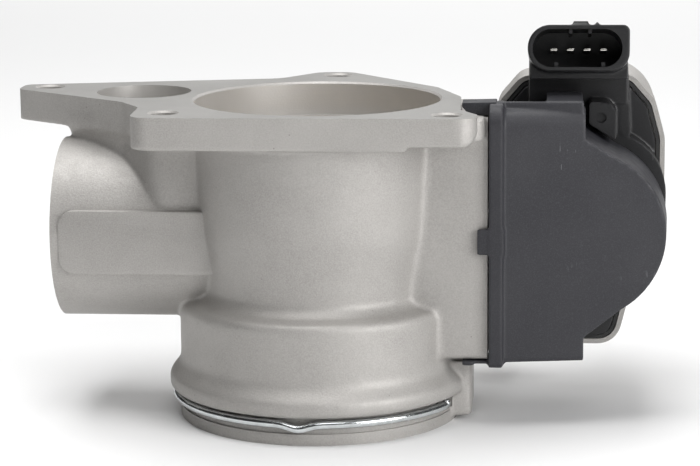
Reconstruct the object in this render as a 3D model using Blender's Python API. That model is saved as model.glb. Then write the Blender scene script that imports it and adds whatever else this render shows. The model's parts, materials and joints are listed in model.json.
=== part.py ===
"""Motor-driven throttle body for a diesel intake duct, as an assembly of its real pieces.

The design frame has its origin on the main bore's axis at the lower rim: X runs to the actuator, Y to the
back and Z up the bore. Lengths below are millimetres and angles are radians; add_solid() makes metres of
them. At the end every piece is carried by one empty that puts the origin under the middle of the whole body.
"""

import math

import bmesh
import bpy
from mathutils import Matrix, Vector

MM = 0.001
SMOOTH_ANGLE = math.radians(35)
GAP = 0.3
MERGE = 2e-6

# Main duct
HEIGHT = 78.0
FLANGE_T = 7.8
FLANGE_THIN_T = 6.7
BORE_TOP_R = 30.0
BORE_TOP_DEPTH = 8.4
THROAT_R = 26.5
THROAT_LOW = 36.0
THROAT_HIGH = 58.0
SOCKET_R = 31.0
SOCKET_DEPTH = 24.0
GROOVE_R = 34.2
SEAL_GROOVE_R = 32.6
SEAL_LOW = 14.0
SEAL_HIGH = 18.0
CLIP_STEPS = 54
FLANGE_HOLE_R = 3.3
FLANGE_HOLES = ((-70.0, 19.4), (-33.8, -25.9), (32.8, -27.7), (1.2, 43.3))

# Side duct, which turns up to its own opening in the flange
PORT_END = -63.8
PORT_Y = 5.5
PORT_Z = 44.9
PORT_R = 22.25
PORT_WALL = 2.8
RISER = (-44.5, 10.9)
RISER_R = 11.75

# Throttle shaft, along X
SHAFT_Z = 47.0
SHAFT_R = 4.0
SHAFT_LEFT = -31.2
SHAFT_RIGHT = 55.0
PLATE_R = 26.2
PLATE_T = 1.4
PLATE_SCREWS = (-9.5, 9.5)
BLOCK_X = 42.0

# Bevel pair: its cones meet where the output shaft's axis crosses the throttle shaft's
APEX = (63.9, SHAFT_Z)
BEVEL_MODULE = 1.2
DRIVEN_TEETH = 20
DRIVING_TEETH = 28
BEVEL_FACE = 5.5

# Actuator: spur train between the motor and the output shaft, all along Y
MOTOR = (71.5, 68.0)
RIM_Y = 14.4
FLOOR_Y = 26.8
BACK_Y = 30.4
STAGE1_MODULE = 0.55
STAGE2_MODULE = 0.65
PINION_TEETH = 12
WHEEL_TEETH = 36
OUTPUT_TEETH = 46
OUTPUT_R = 3.0
MOTOR_R = 10.0
MOTOR_BACK = 57.5
ACTUATOR_SCREWS = ((38.5, 28.5), (38.5, 65.5), (26.5, 47.0))
COVER_SCREWS = ((50.0, 71.0), (50.0, 24.0), (61.5, 23.3))

# Electrical connector, opening towards -Y
PLUG_X = 63.3
PLUG_Z = 90.9
PLUG_MOUTH = -5.0
PLUG_SLOPE = 0.195
PIN_PITCH = 4.0
PIN_HALF_T = 0.3

# Bevel gear hood and the cover's skirt behind it
HOOD_BACK = 5.8
HOOD_WALL = 2.0
HOOD_DROP = 2.5
SKIRT_FRONT = 6.3

# What each material looks like: colour, roughness, metallic
ALUMINIUM = ((0.62, 0.61, 0.59), 0.45, 0.9)
STEEL = ((0.55, 0.55, 0.56), 0.3, 1.0)
ZINC = ((0.66, 0.7, 0.7), 0.25, 1.0)
BRASS = ((0.72, 0.52, 0.22), 0.35, 1.0)
COPPER = ((0.7, 0.33, 0.18), 0.35, 1.0)
TIN = ((0.75, 0.73, 0.68), 0.3, 1.0)
BLACK_PLASTIC = ((0.035, 0.035, 0.04), 0.5, 0.0)
GREY_PLASTIC = ((0.09, 0.09, 0.1), 0.5, 0.0)
GEAR_PLASTIC = ((0.72, 0.69, 0.6), 0.45, 0.0)
RUBBER = ((0.02, 0.02, 0.02), 0.8, 0.0)
FERRITE = ((0.08, 0.08, 0.09), 0.6, 0.1)
BOARD_GREEN = ((0.03, 0.22, 0.08), 0.5, 0.0)


# ---------------------------------------------------------------- modelling helpers


def clear_scene():
    for obj in list(bpy.data.objects):
        bpy.data.objects.remove(obj, do_unlink=True)


def place(axis, a, b, along):
    """A point from its two coordinates across an axis and its distance along it."""
    if axis == "X":
        return (along, a, b)
    if axis == "Y":
        return (a, along, b)
    return (a, b, along)


def add_solid(name, points, faces):
    """A closed mesh object from points in millimetres, with its faces turned outwards."""
    mesh = bpy.data.meshes.new(name)
    mesh.from_pydata([Vector(point) * MM for point in points], [], faces)
    shape = bmesh.new()
    shape.from_mesh(mesh)
    bmesh.ops.remove_doubles(shape, verts=shape.verts, dist=1e-7)
    bmesh.ops.recalc_face_normals(shape, faces=shape.faces)
    shape.to_mesh(mesh)
    shape.free()
    obj = bpy.data.objects.new(name, mesh)
    bpy.context.scene.collection.objects.link(obj)
    return obj


def loft(name, loops):
    """Skins loops of equally many points and caps both ends."""
    count = len(loops[0])
    points = [point for loop in loops for point in loop]
    faces = [tuple(range(count)), tuple(range(len(points) - count, len(points)))]
    for ring in range(len(loops) - 1):
        base = ring * count
        for i in range(count):
            j = (i + 1) % count
            faces.append((base + i, base + j, base + count + j, base + count + i))
    return add_solid(name, points, faces)


def prism(name, outline, axis, low, high):
    return loft(name, [[place(axis, a, b, level) for a, b in outline] for level in (low, high)])


def box(name, low, high):
    outline = ((low[0], low[1]), (high[0], low[1]), (high[0], high[1]), (low[0], high[1]))
    return prism(name, outline, "Z", low[2], high[2])


def turned(name, profile, axis, centre, steps=32):
    """Turns (radius, along) points about an axis: from axis to axis, or a closed ring profile."""
    count = len(profile)
    ring = profile[0][0] > 0
    points = []
    for step in range(steps):
        angle = 2 * math.pi * (step + 0.37) / steps
        for radius, along in profile:
            a = centre[0] + radius * math.cos(angle)
            b = centre[1] + radius * math.sin(angle)
            points.append(place(axis, a, b, along))
    faces = []
    for step in range(steps):
        here = step * count
        there = ((step + 1) % steps) * count
        for i in range(count if ring else count - 1):
            j = (i + 1) % count
            faces.append((here + i, here + j, there + j, there + i))
    return add_solid(name, points, faces)


def cylinder(name, radius, axis, centre, low, high, steps=32):
    return turned(name, [(0, low), (radius, low), (radius, high), (0, high)], axis, centre, steps)


def ring(name, inner, outer, axis, centre, low, high, steps=32):
    profile = [(inner, low), (outer, low), (outer, high), (inner, high)]
    return turned(name, profile, axis, centre, steps)


def arc(centre, radius, start, end, steps):
    """Points on an arc between two angles given in degrees."""
    found = []
    for step in range(steps + 1):
        angle = math.radians(start + (end - start) * step / steps)
        found.append((centre[0] + radius * math.cos(angle), centre[1] + radius * math.sin(angle)))
    return found


def rounded(corners, steps=4):
    """A closed outline from (x, y, radius) corners."""
    outline = []
    for i, (x, y, radius) in enumerate(corners):
        here = Vector((x, y))
        before = (Vector(corners[i - 1][:2]) - here).normalized()
        after = (Vector(corners[(i + 1) % len(corners)][:2]) - here).normalized()
        half = before.angle(after) / 2
        centre = here + (before + after).normalized() * (radius / math.sin(half))
        first = here + before * (radius / math.tan(half)) - centre
        last = here + after * (radius / math.tan(half)) - centre
        start = math.atan2(first.y, first.x)
        sweep = (math.atan2(last.y, last.x) - start + math.pi) % (2 * math.pi) - math.pi
        for step in range(steps + 1):
            angle = start + sweep * step / steps
            outline.append((centre.x + radius * math.cos(angle), centre.y + radius * math.sin(angle)))
    return outline


def inset(outline, distance):
    """The outline moved inwards, point by point."""
    area = sum(p[0] * q[1] - q[0] * p[1] for p, q in zip(outline, outline[1:] + outline[:1]))
    side = math.copysign(1.0, area)
    moved = []
    for i, point in enumerate(outline):
        before = (Vector(point) - Vector(outline[i - 1])).normalized()
        after = (Vector(outline[(i + 1) % len(outline)]) - Vector(point)).normalized()
        normal = Vector((-before.y - after.y, before.x + after.x)).normalized() * side
        stretch = max(normal.dot(Vector((-before.y, before.x))) * side, 0.5)
        moved.append(tuple(Vector(point) + normal * (distance / stretch)))
    return moved


def tube(name, path, radius, sides=8):
    """A round wire along a path of 3-D points."""
    points = [Vector(point) for point in path]
    tangent = (points[1] - points[0]).normalized()
    across = tangent.orthogonal().normalized()
    loops = []
    for i, point in enumerate(points):
        ahead = points[min(i + 1, len(points) - 1)] - points[max(i - 1, 0)]
        across = (across - ahead.normalized() * across.dot(ahead.normalized())).normalized()
        up = ahead.normalized().cross(across)
        angles = [2 * math.pi * side / sides for side in range(sides)]
        loops.append([tuple(point + (across * math.cos(a) + up * math.sin(a)) * radius) for a in angles])
    return loft(name, loops)


def clean(mesh):
    """Merges the near-double points that a Boolean leaves."""
    shape = bmesh.new()
    shape.from_mesh(mesh)
    bmesh.ops.remove_doubles(shape, verts=shape.verts, dist=MERGE)
    bmesh.ops.dissolve_degenerate(shape, edges=shape.edges, dist=MERGE)
    shape.to_mesh(mesh)
    shape.free()


def boolean(target, other, operation):
    """Applies one Boolean and removes the other object."""
    modifier = target.modifiers.new(operation.lower(), "BOOLEAN")
    modifier.operation = operation
    modifier.object = other
    modifier.solver = "EXACT"
    graph = bpy.context.evaluated_depsgraph_get()
    result = bpy.data.meshes.new_from_object(target.evaluated_get(graph))
    clean(result)
    old = target.data
    target.modifiers.clear()
    target.data = result
    result.name = target.name
    bpy.data.meshes.remove(old)
    bpy.data.objects.remove(other, do_unlink=True)


def cut(target, *cutters):
    for cutter in cutters:
        boolean(target, cutter, "DIFFERENCE")


def join(target, *others):
    for other in others:
        boolean(target, other, "UNION")


def finish(obj, look):
    """Gives a piece its own material and its shading."""
    colour, roughness, metallic = look
    material = bpy.data.materials.new(obj.name)
    material.use_nodes = True
    shader = material.node_tree.nodes["Principled BSDF"]
    shader.inputs["Base Color"].default_value = (*colour, 1.0)
    shader.inputs["Roughness"].default_value = roughness
    shader.inputs["Metallic"].default_value = metallic
    obj.data.materials.clear()
    obj.data.materials.append(material)
    obj.data.shade_smooth()
    obj.data.set_sharp_from_angle(angle=SMOOTH_ANGLE)
    return obj


# ---------------------------------------------------------------- gear teeth


def involute(angle):
    return math.tan(angle) - angle


def tooth_points(teeth, module, addendum, dedendum, slack):
    """(height over the pitch circle, half thickness as an angle) from a tooth's root to its tip."""
    pressure = math.radians(20)
    pitch_r = teeth * module / 2
    base_r = pitch_r * math.cos(pressure)
    pitch_half = math.pi / (2 * teeth) - slack / (2 * pitch_r)
    found = []
    for share in (0.0, 0.55, 1.0):
        height = -dedendum + (dedendum + addendum) * share
        radius = max(pitch_r + height, base_r)
        half = pitch_half + involute(pressure) - involute(math.acos(base_r / radius))
        if pitch_r + height < base_r:
            half *= 0.92
        found.append((height, half))
    return found


def spur_outline(teeth, module, centre, phase, slack=0.12):
    """A spur gear's outline with one tooth's middle at the phase angle."""
    flank = tooth_points(teeth, module, 0.9 * module, 1.2 * module, slack)
    outline = []
    for tooth in range(teeth):
        middle = phase + 2 * math.pi * tooth / teeth
        sides = [(h, -half) for h, half in flank] + [(h, half) for h, half in reversed(flank)]
        for height, turn in sides:
            radius = teeth * module / 2 + height
            x = centre[0] + radius * math.cos(middle + turn)
            z = centre[1] + radius * math.sin(middle + turn)
            outline.append((x, z))
    return outline


def bevel_loop(teeth, other_teeth, phase, scale, slack=0.14):
    """(distance from the apex, radius, angle) round a bevel gear's teeth on one of its ends."""
    cone = math.atan2(teeth, other_teeth)
    slant = BEVEL_MODULE * math.hypot(teeth, other_teeth) / 2
    flank = tooth_points(teeth / math.cos(cone), BEVEL_MODULE, 0.9 * BEVEL_MODULE, 1.2 * BEVEL_MODULE, slack)
    loop = []
    for tooth in range(teeth):
        middle = phase + 2 * math.pi * tooth / teeth
        sides = [(h, -half) for h, half in flank] + [(h, half) for h, half in reversed(flank)]
        for height, turn in sides:
            away = slant * math.cos(cone) - height * math.sin(cone)
            radius = slant * math.sin(cone) + height * math.cos(cone)
            loop.append((away * scale, radius * scale, middle + turn / math.cos(cone)))
    return loop


def bevel_gear(name, teeth, other_teeth, phase, back, front, hub_r, to_point):
    """Straight bevel teeth between a back and a front hub face; to_point() turns them into 3-D points."""
    slant = BEVEL_MODULE * math.hypot(teeth, other_teeth) / 2
    small = (slant - BEVEL_FACE) / slant
    large_end = bevel_loop(teeth, other_teeth, phase, 1.0)
    small_end = bevel_loop(teeth, other_teeth, phase, small)
    hub = [(back, hub_r, angle) for _, _, angle in large_end]
    nose = [(front, hub_r * small, angle) for _, _, angle in small_end]
    return loft(name, [[to_point(*item) for item in loop] for loop in (hub, large_end, small_end, nose)])


def gear_axes():
    """The intermediate gear's axis: where its two centre distances from the motor and the output meet."""
    first = STAGE1_MODULE * (PINION_TEETH + WHEEL_TEETH) / 2
    second = STAGE2_MODULE * (PINION_TEETH + OUTPUT_TEETH) / 2
    start = Vector(APEX)
    span = Vector(MOTOR) - start
    along = (second**2 - first**2 + span.length_squared) / (2 * span.length)
    aside = math.sqrt(second**2 - along**2)
    direction = span.normalized()
    return tuple(start + direction * along + Vector((-direction.y, direction.x)) * aside)


MIDDLE = gear_axes()


def direction_angle(start, end):
    return math.atan2(end[1] - start[1], end[0] - start[0])


# ---------------------------------------------------------------- main casting


def flange_outline():
    corners = (
        (-77.0, 23.2, 2.5),
        (-77.2, 14.8, 3.0),
        (-47.0, -7.6, 9.0),
        (-41.2, -17.0, 6.0),
        (-40.8, -34.3, 4.5),
        (39.9, -34.3, 4.5),
        (39.9, -27.2, 2.0),
        (35.7, -19.5, 2.5),
        (35.0, 3.0, 10.0),
        (28.4, 20.2, 5.0),
        (4.2, 49.3, 4.2),
        (-4.0, 49.0, 4.2),
        (-13.0, 36.3, 8.0),
    )
    return rounded(corners)


def barrel():
    """The main duct's outside: lower lip, clip groove, collar, spigot, shoulder and tapering body."""
    profile = (
        (0, 0),
        (34.1, 0),
        (34.7, 0.6),
        (34.7, 2.8),
        (GROOVE_R, 2.8),
        (GROOVE_R, 7.0),
        (37.2, 7.0),
        (37.2, 10.6),
        (35.0, 13.4),
        (34.5, 15.0),
        (34.5, 27.2),
        (33.7, 28.6),
        (29.6, 30.4),
        (28.4, 33.0),
        (30.0, 47.0),
        (32.0, 68.0),
        (32.0, 73.0),
        (0, 73.0),
    )
    return turned("casting", profile, "Z", (0, 0), 48)


def bore_cutter():
    profile = (
        (0, -1),
        (SOCKET_R, -1),
        (SOCKET_R, SEAL_LOW),
        (SEAL_GROOVE_R, SEAL_LOW),
        (SEAL_GROOVE_R, SEAL_HIGH),
        (SOCKET_R, SEAL_HIGH),
        (SOCKET_R, SOCKET_DEPTH),
        (THROAT_R + 1.5, THROAT_LOW - 7),
        (THROAT_R, THROAT_LOW),
        (THROAT_R, THROAT_HIGH),
        (BORE_TOP_R - 1.6, HEIGHT - BORE_TOP_DEPTH),
        (BORE_TOP_R, HEIGHT - BORE_TOP_DEPTH),
        (BORE_TOP_R, HEIGHT + 1),
        (0, HEIGHT + 1),
    )
    return turned("bore_cutter", profile, "Z", (0, 0), 48)


def port_body():
    """The side duct's outside, with the flat pad on its front."""
    profile = (
        (0, PORT_END),
        (PORT_R - 1.3, PORT_END),
        (PORT_R, PORT_END + 1.3),
        (PORT_R, -20),
        (0, -20),
    )
    body = turned("port", profile, "X", (PORT_Y, PORT_Z), 36)
    pad = rounded(((-60.5, 37.1, 2.5), (-22, 37.1, 1), (-22, 52.7, 1), (-60.5, 52.7, 2.5)), 3)
    join(body, prism("pad", pad, "Y", -16.4, 0))
    cut(body, box("pad_face", (-60.5, -20, 30), (-18, -16.4, 60)))
    return body


def riser_body():
    """The wall between the side duct and the flange's left arm, and the web beside the barrel."""
    corners = (
        (-61.5, 23.5, 6.0),
        (-61.5, 6.5, 3.0),
        (-48.5, -4.0, 6.0),
        (-42.5, -16.5, 3.0),
        (-22.0, -16.5, 1.0),
        (-22.0, 26.5, 1.0),
        (-44.5, 26.5, 8.0),
    )
    return prism("riser", rounded(corners), "Z", PORT_Z, 72)


def gear_block():
    """The casting's right-hand block and the rear ear that the actuator is bolted to."""
    corners = ((14, -17, 1), (BLOCK_X, -17, 1.2), (BLOCK_X, 18, 1.2), (14, 18, 1))
    block = prism("block", rounded(corners, 2), "Z", 17, 75.5)
    ear = rounded(((5, 21, 2), (46, 21, 7), (46, 73, 7), (5, 73, 2)), 3)
    join(block, prism("ear", ear, "X", 33.5, BLOCK_X))
    rib = rounded(((18, 8, 1), (40, 8, 1), (40, 36, 2), (22, 25, 2)), 2)
    for low in (33, 57):
        join(block, prism("ear_rib", rib, "Z", low, low + 4))
    return block


def cut_side_passages(casting):
    """The side duct and its turn up to the flange."""
    profile = (
        (0, PORT_END - 1),
        (PORT_R - PORT_WALL, PORT_END - 1),
        (PORT_R - PORT_WALL, -37),
        (PORT_R - PORT_WALL - 3, -34),
        (0, -34),
    )
    passage = turned("port_bore", profile, "X", (PORT_Y, PORT_Z), 36)
    join(passage, cylinder("riser_bore", RISER_R, "Z", RISER, PORT_Z + 2.7, HEIGHT + 1, 28))
    cut(casting, passage)


def cut_shaft_seats(casting):
    """The left bush's blind seat and, on the right, the seats of seal, bearing and spring."""
    centre = (0, SHAFT_Z)
    cut(casting, cylinder("bush_seat", 6.2, "X", centre, -31.9, -20, 24))
    seats = (
        (0, 20),
        (4.5, 20),
        (4.5, 28),
        (7.1, 28),
        (7.1, 31.5),
        (9.8, 31.5),
        (9.8, 37),
        (12.8, 37),
        (12.8, BLOCK_X + 1),
        (0, BLOCK_X + 1),
    )
    cut(casting, turned("right_seats", seats, "X", centre, 24))


def cut_clip_slots(casting):
    """The two slots in the groove through which the clip reaches the pipe."""
    for angle in (192, -24):
        slot = box("slot", (28, -3.5, 3.7), (36, 3.5, 6.3))
        slot.data.transform(Matrix.Rotation(math.radians(angle), 4, "Z"))
        cut(casting, slot)


def casting():
    body = barrel()
    join(body, port_body(), riser_body(), gear_block())
    join(body, prism("flange", flange_outline(), "Z", HEIGHT - FLANGE_T, HEIGHT))
    cut(body, box("thin_arm", (23.7, -40, HEIGHT - FLANGE_T - 1), (44, -17.3, HEIGHT - FLANGE_THIN_T)))
    lug = rounded(((28, -12, 1), (38, -10, 1.5), (38, 8, 1.5), (28, 8, 1)), 2)
    join(body, prism("clip_lug", lug, "Z", 1.2, 15.0))
    cut(body, bore_cutter())
    cut_side_passages(body)
    cut_shaft_seats(body)
    cut_clip_slots(body)
    for hole in FLANGE_HOLES:
        cut(body, cylinder("flange_hole", FLANGE_HOLE_R, "Z", hole, 60, HEIGHT + 1, 16))
    for y, z in ACTUATOR_SCREWS:
        cut(body, cylinder("ear_hole", 2.8, "X", (y, z), 30, BLOCK_X + 1, 16))
    return finish(body, ALUMINIUM)


def wire_clip():
    """Spring wire round the groove, open at the lug, with a shallow dip in front and an upturned end."""
    radius = 35.6
    path = [(32.6, -14.9, 6.0)]
    for step in range(CLIP_STEPS + 1):
        angle = -26 - step * (360 - 26 - 21) / CLIP_STEPS
        front = math.exp(-(((angle + 93) / 5.0) ** 2))
        x = radius * math.cos(math.radians(angle))
        y = radius * math.sin(math.radians(angle))
        path.append((x, y, 5.0 - 0.8 * front))
    return finish(tube("wire_clip", path, 1.05, 7), ZINC)


def socket_seal():
    profile = ((30.4, 14.6), (30.4, 17.4), (31.2, 17.7), (32.2, 17.5), (32.2, 14.5), (31.2, 14.3))
    return finish(turned("socket_seal", profile, "Z", (0, 0), 36), RUBBER)


# ---------------------------------------------------------------- throttle shaft and what is on it


def throttle_shaft():
    shaft = cylinder("throttle_shaft", SHAFT_R, "X", (0, SHAFT_Z), SHAFT_LEFT, SHAFT_RIGHT, 32)
    half_slot = PLATE_T / 2 + 0.2
    cut(shaft, box("slot", (-THROAT_R, -9, SHAFT_Z - half_slot), (THROAT_R, 9, SHAFT_Z + half_slot)))
    for x in PLATE_SCREWS:
        cut(shaft, cylinder("screw_hole", 1.9, "Z", (x, 0), SHAFT_Z - 9, SHAFT_Z + 9, 16))
    return finish(shaft, STEEL)


def throttle_plate():
    low = SHAFT_Z - PLATE_T / 2
    plate = cylinder("throttle_plate", PLATE_R, "Z", (0, 0), low, low + PLATE_T, 48)
    for x in PLATE_SCREWS:
        cut(plate, cylinder("screw_hole", 1.9, "Z", (x, 0), low - 1, low + PLATE_T + 1, 16))
    return finish(plate, BRASS)


def screw(name, axis, centre, seat, tip, shank_r, head_r, head_h, look=STEEL):
    """A socket-head screw: its head stands on the seat, and its tip is where the thread ends."""
    way = math.copysign(1.0, seat - tip)
    top = seat + way * head_h
    socket = seat + way * head_h * 0.4
    profile = (
        (0, tip),
        (shank_r * 0.8, tip),
        (shank_r, tip + way * 0.5),
        (shank_r, seat),
        (head_r, seat),
        (head_r, top - way * 0.3),
        (head_r - 0.3, top),
        (head_r * 0.55, top),
        (head_r * 0.55, socket),
        (0, socket),
    )
    return finish(turned(name, profile, axis, centre, 11), look)


def plate_screws():
    top = SHAFT_Z + SHAFT_R + 0.15
    for number, x in enumerate(PLATE_SCREWS, 1):
        screw(f"plate_screw_{number}", "Z", (x, 0), top, SHAFT_Z - 4.6, 1.6, 2.9, 1.6)


def shaft_supports():
    centre = (0, SHAFT_Z)
    finish(ring("shaft_bush", 4.08, 6.0, "X", centre, -31.6, -27.2), BRASS)
    lip = ((4.1, 28.4), (6.8, 28.4), (6.8, 31.2), (5.4, 31.2), (5.4, 29.4), (4.1, 29.0))
    finish(turned("shaft_seal", lip, "X", centre, 24), RUBBER)
    outer = ((9.5, 31.9), (9.5, 36.7), (8.3, 36.7), (8.5, 35.2), (8.5, 33.4), (8.3, 31.9))
    finish(turned("bearing_outer_ring", outer, "X", centre, 24), STEEL)
    inner = ((4.08, 31.9), (4.08, 36.7), (5.6, 36.7), (5.4, 35.2), (5.4, 33.4), (5.6, 31.9))
    finish(turned("bearing_inner_ring", inner, "X", centre, 32), STEEL)


def bearing_balls():
    """Eight balls in their cage, which are one piece here."""
    cage = ring("bearing_balls", 6.55, 7.35, "X", (0, SHAFT_Z), 33.7, 34.9, 24)
    for ball in range(8):
        angle = 2 * math.pi * (ball + 0.5) / 8
        centre = (6.95 * math.cos(angle), SHAFT_Z + 6.95 * math.sin(angle))
        profile = [(1.3 * math.sin(math.pi * k / 5), 34.3 - 1.3 * math.cos(math.pi * k / 5)) for k in range(6)]
        profile[0] = (0, profile[0][1])
        profile[-1] = (0, profile[-1][1])
        join(cage, turned("ball", profile, "X", centre, 7))
    return finish(cage, STEEL)


def return_spring():
    """Torsion spring round the shaft, with its two legs bent outwards."""
    radius = 10.6
    turns = 2.6
    steps = 44
    path = [(37.9, 0, SHAFT_Z + radius + 1.4)]
    for step in range(steps + 1):
        angle = math.pi / 2 - 2 * math.pi * turns * step / steps
        x = 37.9 + 3.9 * step / steps
        path.append((x, radius * math.cos(angle), SHAFT_Z + radius * math.sin(angle)))
    return finish(tube("return_spring", path, 0.6, 5), STEEL)


def driven_bevel_gear():
    """On the throttle shaft: the cone's apex is towards +X."""

    def to_point(away, radius, angle):
        return (APEX[0] - away, radius * math.cos(angle), SHAFT_Z + radius * math.sin(angle))

    gear = bevel_gear("driven_bevel_gear", DRIVEN_TEETH, DRIVING_TEETH, 0.0, 18.6, 11.6, 9.2, to_point)
    join(gear, cylinder("hub", 7.0, "X", (0, SHAFT_Z), 42.6, 47.0, 28))
    cut(gear, cylinder("hub_bore", 4.08, "X", (0, SHAFT_Z), 40, 60, 32))
    return finish(gear, GEAR_PLASTIC)


def shaft_nut():
    hexagon = arc((0, SHAFT_Z), 5.2, 0, 300, 5)
    nut = prism("shaft_nut", hexagon, "X", 52.7, 54.7)
    cut(nut, cylinder("thread", 4.08, "X", (0, SHAFT_Z), 50, 60, 32))
    return finish(nut, STEEL)


# ---------------------------------------------------------------- output shaft


def driving_bevel_gear():
    """On the output shaft: the cone's apex is towards -Y, and a tooth gap faces the other gear."""

    def to_point(away, radius, angle):
        return (APEX[0] + radius * math.cos(angle), away, SHAFT_Z + radius * math.sin(angle))

    phase = math.pi + math.pi / DRIVING_TEETH
    gear = bevel_gear("driving_bevel_gear", DRIVING_TEETH, DRIVEN_TEETH, phase, 12.7, 8.0, 11.5, to_point)
    cut(gear, cylinder("gear_bore", OUTPUT_R + 0.08, "Y", APEX, 0, 20, 28))
    return finish(gear, GEAR_PLASTIC)


def output_shaft():
    profile = ((0, 6.6), (2.6, 6.6), (OUTPUT_R, 7.0), (OUTPUT_R, 33.2), (0, 33.2))
    return finish(turned("output_shaft", profile, "Y", APEX, 28), STEEL)


def output_gear():
    outline = spur_outline(OUTPUT_TEETH, STAGE2_MODULE, APEX, direction_angle(APEX, MIDDLE))
    gear = prism("output_gear", outline, "Y", 18.6, 22.0)
    join(gear, cylinder("hub", 5.2, "Y", APEX, 21.0, 26.2, 28))
    cut(gear, cylinder("gear_bore", OUTPUT_R + 0.08, "Y", APEX, 10, 30, 28))
    for spoke in range(5):
        angle = 2 * math.pi * (spoke + 0.5) / 5
        centre = (APEX[0] + 9.3 * math.cos(angle), APEX[1] + 9.3 * math.sin(angle))
        cut(gear, cylinder("lightening", 2.4, "Y", centre, 10, 30, 10))
    return finish(gear, GEAR_PLASTIC)


def output_supports():
    finish(ring("output_bush_front", OUTPUT_R + 0.08, 4.7, "Y", APEX, 13.5, 15.9, 28), BRASS)
    finish(ring("output_bush_rear", OUTPUT_R + 0.08, 5.0, "Y", APEX, 27.1, 32.4, 28), BRASS)
    finish(ring("position_magnet", OUTPUT_R + 0.08, 6.4, "Y", APEX, 16.9, 18.3, 28), FERRITE)


# ---------------------------------------------------------------- intermediate gear and motor


def intermediate_gear():
    to_output = direction_angle(MIDDLE, APEX)
    to_motor = direction_angle(MIDDLE, MOTOR)
    wheel = spur_outline(WHEEL_TEETH, STAGE1_MODULE, MIDDLE, to_motor)
    pinion = spur_outline(PINION_TEETH, STAGE2_MODULE, MIDDLE, to_output + math.pi / PINION_TEETH)
    gear = prism("intermediate_gear", wheel, "Y", 22.6, 25.6)
    join(gear, prism("pinion", pinion, "Y", 18.4, 23.0))
    cut(gear, cylinder("gear_bore", 1.58, "Y", MIDDLE, 10, 30, 20))
    return finish(gear, GEAR_PLASTIC)


def intermediate_axle():
    profile = ((0, 17.8), (1.2, 17.8), (1.5, 18.1), (1.5, 32.0), (0, 32.0))
    return finish(turned("intermediate_axle", profile, "Y", MIDDLE, 20), STEEL)


def motor_pinion():
    phase = direction_angle(MOTOR, MIDDLE) + math.pi / PINION_TEETH
    gear = prism("motor_pinion", spur_outline(PINION_TEETH, STAGE1_MODULE, MOTOR, phase), "Y", 22.3, 26.0)
    cut(gear, cylinder("gear_bore", 1.08, "Y", MOTOR, 10, 30, 16))
    return finish(gear, BRASS)


def rotor():
    shaft = ((0, 21.8), (0.8, 21.8), (1.0, 22.0), (1.0, 56.9), (0, 56.9))
    finish(turned("rotor_shaft", shaft, "Y", MOTOR, 16), STEEL)
    core = ring("rotor_core", 1.15, 6.6, "Y", MOTOR, 34.5, 51.5, 30)
    for slot in range(5):
        angle = 2 * math.pi * slot / 5
        groove = box("slot", (3.2, 33, -0.7), (8, 53, 0.7))
        groove.data.transform(Matrix.Rotation(-angle, 4, "Y"))
        groove.data.transform(Matrix.Translation(Vector((MOTOR[0], 0, MOTOR[1])) * MM))
        cut(core, groove)
    finish(core, COPPER)
    finish(ring("commutator", 1.15, 2.6, "Y", MOTOR, 30.6, 34.0, 20), COPPER)


def motor_shell():
    outer = MOTOR_R
    can = ((outer, 27.3), (outer, MOTOR_BACK), (2.4, MOTOR_BACK), (2.4, 56.6), (9.2, 56.6), (9.2, 27.3))
    finish(turned("motor_can", can, "Y", MOTOR, 28), STEEL)
    cap = ring("motor_end_cap", 1.2, 8.9, "Y", MOTOR, 27.5, 29.9, 32)
    finish(cap, BLACK_PLASTIC)
    finish(ring("motor_bush", 1.08, 2.2, "Y", MOTOR, 54.6, 57.2, 20), BRASS)


def motor_magnets():
    for number, middle in enumerate((0, 180), 1):
        outline = arc(MOTOR, 8.9, middle - 62, middle + 62, 12) + arc(MOTOR, 7.1, middle + 62, middle - 62, 12)
        finish(prism(f"motor_magnet_{number}", outline, "Y", 33.5, 53.0), FERRITE)


def brushes():
    for number, side in enumerate((-1, 1), 1):
        low = MOTOR[1] + (2.8 if side > 0 else -7.0)
        size = ((MOTOR[0] - 1.1, 31.0, low), (MOTOR[0] + 1.1, 33.0, low + 4.2))
        finish(box(f"motor_brush_{number}", *size), FERRITE)


# ---------------------------------------------------------------- actuator housing


def housing_outline():
    corners = (
        (43.4, 74.6, 6.0),
        (49.6, 81.8, 5.0),
        (76.7, 82.2, 5.0),
        (82.6, 75.4, 6.0),
        (85.0, 66.5, 8.0),
        (85.0, 40.0, 14.0),
        (76.5, 25.5, 8.0),
        (73.6, 13.7, 6.0),
        (59.8, 13.7, 6.0),
        (55.0, 19.5, 5.0),
        (43.4, 19.5, 5.0),
    )
    return rounded(corners)


def housing_solid():
    """The closed outside of the actuator housing: tray, motor barrel, bearing boss, axle boss and ear."""
    body = prism("actuator_housing", housing_outline(), "Y", RIM_Y, BACK_Y)
    motor = ((0, 27), (12.6, 27), (12.6, 59.5), (11.0, 61.3), (0, 61.3))
    join(body, turned("motor_barrel", motor, "Y", MOTOR, 40))
    join(body, cylinder("bearing_boss", 7.4, "Y", APEX, 27, 36.0, 28))
    join(body, cylinder("axle_boss", 4.2, "Y", MIDDLE, 27, 34.0, 20))
    ear = rounded(((17, 22, 2), (46, 22, 6), (46, 72, 6), (17, 72, 2)), 3)
    join(body, prism("ear", ear, "X", BLOCK_X + GAP, 50.0))
    return body


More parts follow.
